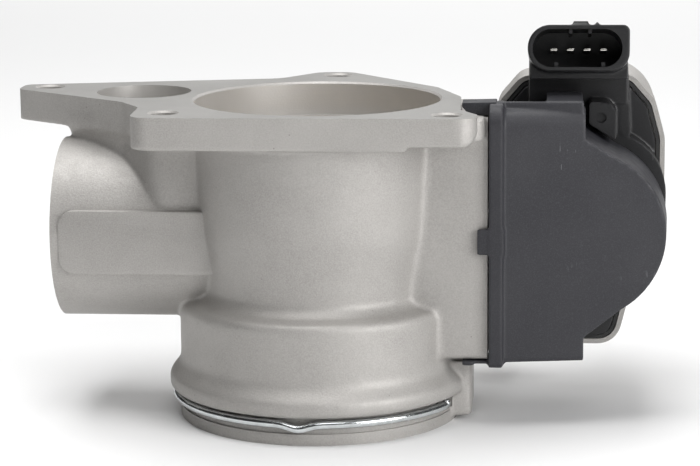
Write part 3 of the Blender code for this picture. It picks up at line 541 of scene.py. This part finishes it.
def rubber():
    recipe = Recipe("rubber")
    tone = recipe.mix(recipe.noise(300, 3), (0.014, 0.014, 0.014), (0.028, 0.028, 0.028))
    recipe.bump(recipe.noise(1800, 2), 0.3, 0.00004)
    return recipe.finish(tone, recipe.ramp(recipe.noise(500, 2), 0.3, 0.7, 0.62, 0.75))


MATERIALS = {
    "cast_aluminium": cast_aluminium(),
    "faced": machined_aluminium("faced_aluminium", (0.26, 0.254, 0.243), (0.33, 0.323, 0.311), 0.5),
    "bored": machined_aluminium("bored_aluminium", (0.46, 0.444, 0.424), (0.56, 0.543, 0.522), 0.35),
    "steel": steel("steel", (0.56, 0.56, 0.57), 0.32),
    "zinc_wire": steel("zinc_wire", (0.74, 0.77, 0.78), 0.2),
    "brass": steel("brass", (0.72, 0.53, 0.26), 0.34),
    "copper": steel("copper", (0.72, 0.35, 0.2), 0.36),
    "tinned_contact": steel("tinned_contact", (0.86, 0.84, 0.79), 0.22),
    "grey_black_plastic": plastic(
        "grey_black_plastic", (0.0245, 0.0245, 0.029), (0.033, 0.033, 0.0375), 0.5, 0.5
    ),
    "black_plastic": plastic("black_plastic", (0.012, 0.012, 0.013), (0.018, 0.018, 0.019), 0.4, 0.3),
    "gear_plastic": plastic("gear_plastic", (0.66, 0.63, 0.54), (0.72, 0.69, 0.6), 0.42, 0.0),
    "rubber": rubber(),
    "ferrite": plastic("ferrite", (0.07, 0.07, 0.08), (0.1, 0.1, 0.11), 0.55, 0.0),
    "board": plastic("board", (0.02, 0.16, 0.06), (0.03, 0.22, 0.08), 0.35, 0.0),
}


def dress_frame_nodes():
    """Every CAD node that stays visible gets the node material of its slot."""
    for part in frame["record"]["subparts"]:
        obj = frame["nodes"][part["node"]]
        obj.data.materials.clear()
        obj.data.materials.append(MATERIALS[part["material_slot"]])


# ---------------------------------------------------------------- main casting


def flange_outline():
    corners = (
        (-77.0, 23.2, 2.5),
        (-77.2, 14.8, 3.0),
        (-47.0, -7.6, 9.0),
        (-41.2, -17.0, 6.0),
        (-40.8, -34.3, 4.5),
        (39.9, -34.3, 4.5),
        (39.9, -27.2, 2.0),
        (35.7, -19.5, 2.5),
        (35.0, 3.0, 10.0),
        (28.4, 20.2, 5.0),
        (4.2, 49.3, 4.2),
        (-4.0, 49.0, 4.2),
        (-13.0, 36.3, 8.0),
    )
    return rounded(corners)


def barrel():
    """Outside of the main duct: lip, collar, spigot, shoulder and the tapering body."""
    profile = (
        (0, -2.0),
        (34.7, -2.0),
        (34.7, 7.0),
        (37.3, 7.2),
        (37.3, 10.4),
        (35.0, 13.2),
        (34.5, 14.6),
        (34.5, 27.6),
        (33.8, 28.8),
        (30.6, 29.6),
        (28.8, 31.6),
        (29.4, 38.0),
        (30.9, 47.0),
        (31.6, 58.0),
        (32.0, 68.0),
        (32.0, 74.0),
        (0, 74.0),
    )
    return turned(profile, "Z", (0, 0), ROUND_STEPS)


def side_duct():
    return cylinder(PORT_R, "X", (PORT_Y, PORT_Z), PORT_END - 2, -20, 120)


def riser_body():
    """Neck from the side duct up to the flange, flared under the flange, and the web beside the barrel."""
    corners = (
        (-62.2, 23.5, 8.0),
        (-62.2, 5.0, 4.0),
        (-46.9, -6.0, 5.0),
        (-38.2, -15.2, 7.0),
        (-22.0, -15.0, 1.0),
        (-22.0, 26.5, 1.0),
        (-44.5, 26.5, 8.0),
    )
    outline = rounded(corners)
    levels = ((PORT_Z, 0.0), (67.5, 0.0), (69.2, 0.5), (70.6, 1.3), (74.0, 1.3))
    return loft([[(x, y, z) for x, y in inset(outline, -flare)] for z, flare in levels])


def block_body():
    """Right-hand block, the rear ear that the actuator is bolted to, and its ribs."""
    block = prism(rounded(((14, -16.6, 1), (44, -16.9, 1.2), (44, 18, 1.2), (14, 18, 1))), "Z", 17, BLOCK_TOP)
    ear = prism(rounded(((5, 21, 2), (46, 21, 7), (46, 73, 7), (5, 73, 2))), "X", 33.5, 44)
    rib = rounded(((18, 8, 1), (40, 8, 1), (40, 36, 2), (22, 25, 2)))
    return [block, ear] + [prism(rib, "Z", low, low + 4) for low in (33, 57)]


def flange_body():
    """The flange, thinner under its front right arm, whose end is rounded off below."""
    low = HEIGHT - FLANGE_T
    thin = HEIGHT - FLANGE_THIN_T
    flange = prism(flange_outline(), "Z", low, HEIGHT + 2)
    cut(flange, box((23.7, -40, low - 1), (44, -17.3, thin)))
    corner = arc((36.7, thin + 3.2), 3.2, -90, 0, 10) + [(44, thin + 3.2), (44, low - 1), (36.7, low - 1)]
    cut(flange, prism(corner, "Y", -40, -19))
    plan = rounded(((34, -25, 1), (41.2, -25, 2.5), (41.2, -15, 1), (34, -15, 1)))
    ledge = prism(plan, "Z", thin, BLOCK_TOP + 0.6)
    return [flange, ledge]


def pad():
    """Flat pad on the front of the side duct."""
    outline = rounded(((-61.8, 37.1, 4.0), (-20, 37.1, 1), (-20, 52.7, 1), (-61.8, 52.7, 4.0)))
    return prism(outline, "Y", PAD_Y, 0)


def bore_cutter():
    profile = (
        (0, -4),
        (SOCKET_R + 0.8, -4),
        (SOCKET_R + 0.8, 0),
        (SOCKET_R, 0.8),
        (SOCKET_R, SEAL_LOW),
        (SEAL_GROOVE_R, SEAL_LOW),
        (SEAL_GROOVE_R, SEAL_HIGH),
        (SOCKET_R, SEAL_HIGH),
        (SOCKET_R, SOCKET_DEPTH),
        (THROAT_R + 1.5, THROAT_LOW - 7),
        (THROAT_R, THROAT_LOW),
        (THROAT_R, THROAT_HIGH),
        (BORE_TOP_R - 1.6, BORE_TOP_Z),
        (BORE_TOP_R, BORE_TOP_Z),
        (BORE_TOP_R, HEIGHT - 0.5),
        (BORE_TOP_R + 0.5, HEIGHT),
        (BORE_TOP_R + 0.5, HEIGHT + 4),
        (0, HEIGHT + 4),
    )
    return turned(profile, "Z", (0, 0), ROUND_STEPS)


def passage_cutter():
    """The side duct's inside and its turn up to the flange."""
    inner = PORT_R - PORT_WALL
    profile = (
        (0, PORT_END - 4),
        (inner + 0.7, PORT_END - 4),
        (inner + 0.7, PORT_END),
        (inner, PORT_END + 0.7),
        (inner, -37),
        (inner - 3, -34),
        (0, -34),
    )
    passage = turned(profile, "X", (PORT_Y, PORT_Z), 120)
    return join(passage, cylinder(RISER_R, "Z", RISER, PORT_Z + 2.7, HEIGHT + 4, 80))


def seats_cutter():
    """Seats of seal, bearing and spring on the shaft's right."""
    profile = (
        (0, 20),
        (4.5, 20),
        (4.5, 28),
        (7.1, 28),
        (7.1, 31.5),
        (9.8, 31.5),
        (9.8, 37),
        (12.8, 37),
        (12.8, 48),
        (0, 48),
    )
    return turned(profile, "X", (0, SHAFT_Z), 64)


def groove_cutter():
    """Clip groove, left uncut at the lug."""
    profile = (
        (GROOVE_R, GROOVE_LOW),
        (60, GROOVE_LOW),
        (60, GROOVE_HIGH),
        (GROOVE_R, GROOVE_HIGH),
    )
    groove = turned(profile, "Z", (0, 0), ROUND_STEPS)
    return cut(groove, box((27, -11.5, -2), (70, 8, 20)))


def slot_cutters():
    """The two slots in the groove through which the clip reaches the pipe."""
    found = []
    for angle in CLIP_SLOT_ANGLES:
        slot = box((28, -3.5, 3.7), (36, 3.5, 6.3))
        slot.data.transform(Matrix.Rotation(math.radians(angle), 4, "Z"))
        found.append(slot)
    return found


def screw_hole(radius, axis, centre, low, high, face, chamfer=0.5):
    """A through hole with a small chamfer on one face."""
    way = math.copysign(1.0, high - low)
    profile = (
        (0, low),
        (radius, low),
        (radius, face - way * chamfer),
        (radius + chamfer, face),
        (radius + chamfer, high),
        (0, high),
    )
    return turned(profile, axis, centre, 48)


def rough_casting():
    """The outside as cast: a well filleted body, then the parts with tighter edges."""
    body = fuse([barrel(), riser_body()] + block_body(), CAST_VOXEL, 9)
    lug = prism(rounded(((28, -12, 1), (38, -10, 1.5), (38, 8, 1.5), (28, 8, 1))), "Z", 1.2, 15.0)
    rough = fuse([body, side_duct(), lug] + flange_body(), CAST_VOXEL, 3)
    return join(rough, round_edges(pad(), 0.3, 2))


def mark_machined(obj):
    """Gives the cut faces their own materials: bores and socket, then flange top, rims and actuator face."""
    obj.data.materials.append(MATERIALS["bored"])
    obj.data.materials.append(MATERIALS["faced"])
    for face in obj.data.polygons:
        spot = face.center / MM - ORIGIN
        across = math.hypot(spot.x, spot.y)
        inward = (spot.x * face.normal.x + spot.y * face.normal.y) < 0
        in_bore = across < BORE_TOP_R + 0.6 and inward and abs(face.normal.z) < 0.5
        in_socket = across < SOCKET_R + 2 and spot.z < SOCKET_DEPTH
        in_riser = math.hypot(spot.x - RISER[0], spot.y - RISER[1]) < RISER_R + 0.1
        gaps = (spot.z, spot.x - PORT_END, BLOCK_X - spot.x, HEIGHT - spot.z)
        on_plane = min(abs(gap) for gap in gaps) < 0.05
        if in_bore or in_socket or in_riser:
            face.material_index = BORED
        elif on_plane:
            face.material_index = FACED


def make_casting():
    """The casting with its faces, bores, seats and holes cut, and the rear ear's top sloped."""
    casting = rough_casting()
    cut(casting, box((-90, -60, HEIGHT), (60, 90, HEIGHT + 9)))
    cut(casting, box((-90, -60, -9), (60, 90, 0)))
    cut(casting, box((PORT_END - 9, -30, 10), (PORT_END, 40, 68)))
    cut(casting, box((BLOCK_X, -60, -5), (BLOCK_X + 9, 90, 90)))
    cut(casting, bore_cutter(), passage_cutter(), seats_cutter(), groove_cutter(), *slot_cutters())
    cut(casting, cylinder(BUSH_SEAT_R, "X", (0, SHAFT_Z), -31.9, -20))
    cut(casting, prism(((20, 73.4), (50, 67.0), (50, 80), (20, 80)), "X", 33, BLOCK_X + 3))
    for hole in FLANGE_HOLES:
        cut(casting, screw_hole(FLANGE_HOLE_R, "Z", hole, 60, HEIGHT + 4, HEIGHT))
    for y, z in ACTUATOR_SCREWS:
        cut(casting, cylinder(CASTING_SCREW_HOLE_R, "X", (y, z), 30, BLOCK_X + 3))
    add_piece(casting, "casting_body", "housing", "cast_aluminium", ["casting"])
    mark_machined(casting)


def make_wire_clip():
    """Spring wire round the groove with a shallow dip in front and an upturned end."""
    path = [(32.2, -15.6, 6.6), (32.1, -15.7, 6.1)]
    for step in range(CLIP_STEPS + 1):
        angle = CLIP_START - CLIP_SWEEP * step / CLIP_STEPS
        dip = math.exp(-(((angle - CLIP_DIP_ANGLE) / CLIP_DIP_WIDTH) ** 2))
        x = CLIP_R * math.cos(math.radians(angle))
        y = CLIP_R * math.sin(math.radians(angle))
        rise = CLIP_TILT - CLIP_TILT * math.sin(math.radians(angle))
        path.append((x, y, CLIP_Z + rise - CLIP_DIP_DEPTH * dip))
    clip = wire(path, CLIP_WIRE_R)
    add_piece(clip, "wire_clip_ring", "housing", "zinc_wire", ["wire_clip"], sharp=60)


def make_socket_seal():
    section = arc((SOCKET_R + 0.5, (SEAL_LOW + SEAL_HIGH) / 2), SEAL_CORD_R, 0, 345, 23)
    seal = turned(section, "Z", (0, 0), 120)
    add_piece(seal, "socket_seal_ring", "housing", "rubber", ["socket_seal"], sharp=60)


# ---------------------------------------------------------------- shaft, plate and screws


def make_throttle():
    """The slotted shaft with its disc."""
    shaft_low, shaft_high = node_box("throttle_shaft")
    profile = (
        (0, shaft_low.x),
        (SHAFT_R - 0.5, shaft_low.x),
        (SHAFT_R, shaft_low.x + 0.5),
        (SHAFT_R, shaft_high.x - 0.6),
        (SHAFT_R - 0.6, shaft_high.x),
        (0, shaft_high.x),
    )
    shaft = turned(profile, "X", (0, SHAFT_Z), 96)
    half_slot = PLATE_T / 2 + 0.1
    cut(shaft, box((-THROAT_R, -9, SHAFT_Z - half_slot), (THROAT_R, 9, SHAFT_Z + half_slot)))
    rim = 0.25
    low = SHAFT_Z - PLATE_T / 2
    high = low + PLATE_T
    disc = (
        (0, low),
        (PLATE_R - rim, low),
        (PLATE_R, low + rim),
        (PLATE_R, high - rim),
        (PLATE_R - rim, high),
        (0, high),
    )
    plate = turned(disc, "Z", (0, 0), ROUND_STEPS)
    for x in PLATE_SCREWS:
        cut(shaft, cylinder(PLATE_SCREW_HOLE_R, "Z", (x, 0), SHAFT_Z - 9, SHAFT_Z + 9, 32))
        cut(plate, cylinder(PLATE_SCREW_HOLE_R, "Z", (x, 0), low - 1, high + 1, 32))
    add_piece(shaft, "throttle_shaft_bar", "throttle", "steel", ["throttle_shaft"])
    add_piece(plate, "throttle_plate_disc", "throttle", "brass", ["throttle_plate"])


def make_screw(name, node, body, axis, centre, seat, tip, shank_r, head_r, head_h):
    """Socket-head screw with a hexagon recess."""
    way = math.copysign(1.0, seat - tip)
    top = seat + way * head_h
    profile = (
        (0, tip),
        (shank_r * 0.8, tip),
        (shank_r, tip + way * 0.5),
        (shank_r, seat),
        (head_r - 0.15, seat),
        (head_r, seat + way * 0.2),
        (head_r, top - way * 0.5),
        (head_r - 0.15, top - way * 0.2),
        (head_r - 0.5, top),
        (0, top),
    )
    screw = turned(profile, axis, centre, 64)
    recess = arc(centre, head_r * 0.56, 0, 300, 5)
    low, high = sorted((top + way, seat + way * head_h * 0.35))
    cut(screw, prism(recess, axis, low, high))
    add_piece(screw, name, body, "steel", [node])


def make_screws():
    top = SHAFT_Z + SHAFT_R + 0.15
    for number, x in enumerate(PLATE_SCREWS, 1):
        node = f"plate_screw_{number}"
        make_screw(node + "_head", node, "throttle", "Z", (x, 0), top, SHAFT_Z - 4.6, 1.6, 2.9, 1.6)
    for number, centre in enumerate(ACTUATOR_SCREWS, 1):
        node = f"actuator_screw_{number}"
        tip = 46.2 if centre[0] < BACK_Y else 49.5
        make_screw(node + "_head", node, "housing", "X", centre, 33.2, tip, 2.0, 4.2, 4.0)


# ---------------------------------------------------------------- actuator housing


def housing_outline():
    """Edge of the tray and the cover in X and Z."""
    corners = (
        (43.4, 74.6, 6.0),
        (49.6, 81.8, 5.0),
        (76.7, 82.2, 5.0),
        (82.6, 75.4, 6.0),
        (85.0, 66.5, 8.0),
        (85.0, 40.0, 14.0),
        (76.5, 25.5, 8.0),
        (73.6, 13.7, 6.0),
        (59.8, 13.7, 6.0),
        (55.0, 19.5, 5.0),
        (43.4, 19.5, 5.0),
    )
    return rounded(corners)


def make_actuator_housing():
    """Tray with the motor tube, two bearing towers, screw posts and the ear that bolts to the casting."""
    outline = housing_outline()
    tray = prism(outline, "Y", RIM_Y - 2, BACK_Y)
    motor = ((0, 27), (12.6, 27), (12.6, 59.3), (12.0, 60.7), (10.8, MOTOR_BACK), (0, MOTOR_BACK))
    ear = prism(rounded(((17, 22, 2), (46, 22, 6), (46, 72, 6), (17, 72, 2))), "X", BLOCK_X - 1, 50.0)
    shapes = [
        tray,
        turned(motor, "Y", MOTOR, 120),
        cylinder(7.4, "Y", APEX, 27, 36.0),
        cylinder(4.2, "Y", MIDDLE, 27, 34.0),
        ear,
    ]
    housing = fuse(shapes, HOUSING_VOXEL, 6)
    cut(housing, box((30, RIM_Y - 9, -5), (100, RIM_Y, 100)))
    cut(housing, box((30, RIM_Y - 9, -5), (BLOCK_X + GAP, 90, 100)))
    cut(housing, prism(((25, 71.6), (50, 66.5), (50, 80), (25, 80)), "X", 40, 43.3))
    cut(housing, prism(inset(outline, 1.2), "Y", RIM_Y - 3, 16.4))
    chamber = prism(inset(outline, 3.4), "Y", RIM_Y - 3, FLOOR_Y)
    for x, z in COVER_SCREWS:
        side = 45 if x < 55 else x - 4
        depth = 22.2 if z > 50 else 28
        low = z - 4 if z > 50 else 12
        high = 82 if z > 50 else z + 4
        cut(chamber, box((side, 16.4, low), (x + 4, depth, high)))
    cut(housing, chamber)
    cut(housing, cylinder(10.3, "Y", MOTOR, FLOOR_Y - 1, 58.0))
    cut(housing, cylinder(5.25, "Y", APEX, FLOOR_Y - 1, 33.8))
    cut(housing, cylinder(1.7, "Y", MIDDLE, FLOOR_Y - 1, 32.4))
    for x, z in COVER_SCREWS:
        cut(housing, cylinder(COVER_SCREW_CORE_R, "Y", (x, z), 14, 21.6))
    for y, z in ACTUATOR_SCREWS:
        deep = 46.6 if y < BACK_Y else 51
        cut(housing, cylinder(HOUSING_SCREW_HOLE_R, "X", (y, z), 40, deep))
    add_piece(housing, "actuator_housing_body", "housing", "cast_aluminium", ["actuator_housing"])


# ---------------------------------------------------------------- cover with connector


def skirt_outer():
    """Outside of the wall round the bevel gears in X and Z."""
    lower = arc((63.9, 46.8), 21.1, -62, -4, 16)
    upper = arc((69.3, 53.4), 15.8, 0, 76, 16)
    return [(43.7, 17.2), (64.5, 17.2)] + lower + upper + [(74.0, 76.9), (43.7, 76.9)]


def skirt_inner():
    return [(45.6, 19.0), (66.0, 19.0)] + arc(APEX, 18.2, -58, 58, 28) + [(64.2, 74.9), (45.6, 74.9)]


def connector_outline(half, low, high):
    left = PLUG_X - half
    right = PLUG_X + half
    return rounded(((left, low, 5.4), (right, low, 4.5), (right, high, 1.6), (left, high, 5.4)), 10)


def plug_drop(y):
    """How far the plug's parts lie below their height at its mouth, which they fall away from."""
    return PLUG_SLOPE * (y - PLUG_MOUTH)


def lean(obj):
    """Lowers the object's points by their plug_drop."""
    for vertex in obj.data.vertices:
        vertex.co.z -= plug_drop(vertex.co.y)
    return obj


def connector_shell():
    """The plug's stadium-shaped collar with its squared right end and latch tab."""
    high = PLUG_Z + PLUG_HALF_H
    shell = prism(connector_outline(12.15, PLUG_Z - PLUG_HALF_H, high), "Y", PLUG_MOUTH, 14.0)
    latch = box((61.9, PLUG_MOUTH + 0.6, high - 1), (65.6, 4, high + 0.9))
    nib = box((67.4, PLUG_MOUTH + 0.4, high - 1), (67.9, PLUG_MOUTH + 1.2, high + 0.7))
    return [lean(shell), lean(latch), lean(nib)]


def plug_cavity():
    """The plug's inside, left solid at two keys below and two above."""
    half = 11.0
    low = PLUG_Z - CAVITY_HALF_H
    high = PLUG_Z + CAVITY_HALF_H
    left = PLUG_X - half
    right = PLUG_X + half - 0.6
    outline = rounded(((left, low, 4.5), (right, low, 4.5), (right, high, 4.5), (left, high, 4.5)), 10)
    cavity = prism(outline, "Y", PLUG_MOUTH - 1, 8.0)
    for x in (58.0, 69.2):
        cut(cavity, box((x - 0.45, PLUG_MOUTH + 0.8, low - 1), (x + 0.45, 9, low + 1.2)))
    for x in (61.4, 66.0):
        cut(cavity, box((x - 0.4, PLUG_MOUTH + 2.0, high - 1.0), (x + 0.4, 9, high + 1)))
    return lean(cavity)


def pin_x(pin):
    return PLUG_X + 0.05 + (pin - 1.5) * PIN_PITCH


def pin_slot(pin):
    """Slot in the plug's floor with 0.1 mm round the pin."""
    x = pin_x(pin)
    wide = PIN_HALF_W + 0.1
    half = PIN_HALF_T + 0.1
    return lean(box((x - wide, 7, PLUG_Z - half), (x + wide, 11, PLUG_Z + half)))


def make_cover():
    """Lid, skirt, boss, the plug's two legs and neck, and the plug itself."""
    skirt = prism(skirt_outer(), "Y", 6.3, RIM_Y - GAP)
    cut(skirt, prism(skirt_inner(), "Y", 5, 13.2))
    cut(skirt, box((40, 5, 32), (48, 13.2, 62)))
    cut(skirt, box((40, 5, 74.4), (51.4, 14.2, 80)))
    boss = rounded(((66.0, 71.9, 0.5), (72.6, 67.9, 0.5), (72.6, 77.4, 3.6), (66.0, 77.4, 0.6)))
    left_leg = rounded(((51.4, 75.0, 0.5), (54.6, 75.0, 0.5), (55.6, 86.5, 0.5), (51.4, 86.5, 0.5)))
    right_leg = rounded(((73.6, 68.6, 1), (76.4, 66.6, 1), (75.4, 86.5, 0.5), (72.8, 86.5, 0.5)))
    shapes = [
        prism(inset(housing_outline(), 2.5), "Y", 13.2, 16.0),
        skirt,
        prism(boss, "Y", -1.5, 12),
        prism(left_leg, "Y", 6.2, 14.0),
        prism(right_leg, "Y", 6.2, 14.0),
        box((51.4, 6.0, 76.0), (75.2, 14.05, 87.0)),
        box((51.9, -1.5, 82.9), (75.1, 12.0, 87.0)),
    ]
    cover = fuse(shapes + connector_shell(), COVER_VOXEL, 3)
    cut(cover, plug_cavity())
    cut(cover, box((56.0, 10.2, 72.5), (70.8, 12.6, 90.0)))
    cut(cover, box((56.0, 10.2, 72.5), (70.8, 18, 77.5)))
    for pin in range(PIN_COUNT):
        cut(cover, pin_slot(pin))
    cut(cover, cylinder(4.95, "Y", APEX, 10, 20))
    cut(cover, cylinder(1.3, "Y", (68.9, 73.6), -3, -0.7, 32))
    for centre in COVER_SCREWS:
        cut(cover, cylinder(COVER_SCREW_HOLE_R, "Y", centre, 10, 20))
    add_piece(cover, "cover_moulding", "housing", "black_plastic", ["cover"])


def make_terminals():
    """Flat pins with bevelled edges: forward into the plug, down inside the neck and back to the board."""
    tip, bend, rear, low = 0.6, 11.1, 16.1, 74.8
    thick = 2 * PIN_HALF_T
    tip_z = PLUG_Z - plug_drop(tip)
    bend_z = PLUG_Z - plug_drop(bend)
    outline = [(tip, tip_z + PIN_HALF_T), (bend + thick, bend_z + PIN_HALF_T), (bend + thick, low + thick)]
    outline += [(rear, low + thick), (rear, low), (bend, low), (bend, bend_z - PIN_HALF_T)]
    outline += [(tip, tip_z - PIN_HALF_T)]
    for pin in range(PIN_COUNT):
        middle = pin_x(pin)
        terminal = prism(outline, "X", middle - PIN_HALF_W, middle + PIN_HALF_W)
        round_edges(terminal, 0.12, 2)
        node = f"terminal_{pin + 1}"
        add_piece(terminal, node + "_blade", "housing", "tinned_contact", [node])


# ---------------------------------------------------------------- hood


def hood_front(x):
    """The front face recedes towards the right."""
    return -18.0 + 0.153 * (x - 42.3)


def hood_profile(x, shrink):
    """Section of the hood at x; a shrunk one is its inside and runs out at the back."""
    front = hood_front(x) + shrink
    low = 16.3 + shrink
    high = 78.0 - shrink
    back = HOOD_BACK + (HOOD_WALL if shrink else 0.0)
    corners = (
        (back, low, 0.1),
        (front, low, 1.2),
        (front, high, 4.2 - shrink),
        (back, high - HOOD_DROP, 0.1),
    )
    return [(x, y, z) for y, z in rounded(corners, 10)]


def bulge(grow, depth, left, back):
    """The D-shaped part of the hood that covers the large bevel gear."""
    loops = []
    for more, place in ((grow, None), (grow + 0.9, back)):
        outline = [(left, 22.3 - more), (65.2, 22.3 - more)]
        outline += arc((63.9, 46.8), 20.6 + more, -62, 66, 48)
        outline += [(65.2, 70.2 + more), (left, 70.2 + more)]
        loops.append([(x, hood_front(x) + depth if place is None else place, z) for x, z in outline])
    return loft(loops)


def hood_clips():
    """Edge strip, hooks and tongues that hold the hood on the block and the cover."""
    back = HOOD_BACK - 0.4
    corners = ((back, 15.2, 0.1), (-18.6, 15.2, 1.2), (-18.6, 79.2, 4.4), (back, 79.2 - HOOD_DROP, 0.1))
    section = rounded(corners, 10)
    return [
        prism(section, "X", BLOCK_X + GAP, 45.7),
        box((44, -13.6, 76.2), (64.6, -12.2, 79.1)),
        box((55.8, -12.9, 76.7), (64.4, 3.0, 79.3)),
        box((39.6, -18.4, 42.9), (46, -17.3, 49.2)),
        box((36.2, -16.8, 15.9), (46, -9.0, 16.7)),
        box((36.0, -17.6, 15.6), (38.6, -9.0, 16.7)),
    ]


def top_hook():
    """Flat tapered hook that reaches over the block's top edge."""
    hook = prism(((35.8, 78.9), (44, 79.1), (44, 75.9), (37.6, 75.9), (35.8, 77.9)), "Y", -14, -8)
    return round_edges(hook, 0.25, 2)


def make_hood():
    """The hollow hood with its strip and clips, open on the left where the shaft comes in."""
    body = loft([hood_profile(x, 0) for x in (BLOCK_X + GAP, 65.0)])
    hood = fuse([body, bulge(0.0, 0.0, 58.0, HOOD_BACK)] + hood_clips(), HOOD_VOXEL, 2)
    cut(hood, loft([hood_profile(x, HOOD_WALL) for x in (BLOCK_X - 9, 63.1)]))
    cut(hood, bulge(-HOOD_WALL, HOOD_WALL, 57.0, 8.0))
    cut(hood, box((30, -20, 20), (BLOCK_X + GAP, 10, 42)), box((30, -20, 50), (BLOCK_X + GAP, 10, 76)))
    join(hood, top_hook())
    add_piece(hood, "hood_moulding", "housing", "grey_black_plastic", ["hood"])


# ---------------------------------------------------------------- stage


def add_floor():
    mesh = bpy.data.meshes.new("floor")
    corners = [(x * FLOOR_HALF, y * FLOOR_HALF, 0) for x, y in ((-1, -1), (1, -1), (1, 1), (-1, 1))]
    mesh.from_pydata(corners, [], [(0, 1, 2, 3)])
    floor = bpy.data.objects.new("floor", mesh)
    bpy.context.scene.collection.objects.link(floor)
    material = bpy.data.materials.new("floor")
    material.use_nodes = True
    shader = material.node_tree.nodes["Principled BSDF"]
    shader.inputs["Base Color"].default_value = (FLOOR_WHITE, FLOOR_WHITE, FLOOR_WHITE, 1)
    shader.inputs["Roughness"].default_value = 0.9
    shader.inputs["Specular IOR Level"].default_value = 0.1
    mesh.materials.append(material)


def add_light(name, target, position, size, power):
    """A rectangular light turned towards its target."""
    light = bpy.data.lights.new(name, "AREA")
    light.shape = "RECTANGLE"
    light.size = size[0]
    light.size_y = size[1]
    light.energy = power
    obj = bpy.data.objects.new(name, light)
    bpy.context.scene.collection.objects.link(obj)
    obj.location = position
    obj.rotation_euler = (Vector(target) - Vector(position)).to_track_quat("-Z", "Y").to_euler()


def add_lights():
    for name, (position, size, power) in LIGHTS.items():
        add_light(name, LIGHT_TARGET, position, size, power)
    add_light("backdrop", BACKDROP_TARGET, *BACKDROP_LIGHT)
    world = bpy.context.scene.world or bpy.data.worlds.new("studio")
    bpy.context.scene.world = world
    world.use_nodes = True
    sky = world.node_tree.nodes["Background"]
    sky.inputs["Color"].default_value = (1.0, 1.0, 1.0, 1)
    sky.inputs["Strength"].default_value = WORLD_STRENGTH


def add_camera():
    """The camera with the photograph's view."""
    camera = bpy.data.cameras.new("camera")
    camera.lens = CAMERA_LENS
    camera.sensor_width = CAMERA_SENSOR
    camera.clip_start = 0.05
    obj = bpy.data.objects.new("camera", camera)
    bpy.context.scene.collection.objects.link(obj)
    place = Matrix.Translation((ORIGIN + Vector(CAMERA_PLACE)) * MM)
    turn = Matrix.Rotation(CAMERA_HEADING, 4, "Z") @ Matrix.Rotation(math.pi / 2 - CAMERA_PITCH, 4, "X")
    obj.matrix_world = place @ turn @ Matrix.Rotation(CAMERA_ROLL, 4, "Z")
    bpy.context.scene.camera = obj


def set_colours():
    """Plain display colours, without a film curve."""
    bpy.context.scene.view_settings.view_transform = "Standard"


dress_frame_nodes()
make_casting()
make_wire_clip()
make_socket_seal()
make_throttle()
make_screws()
make_actuator_housing()
make_cover()
make_terminals()
make_hood()
add_floor()
add_lights()
add_camera()
set_colours()
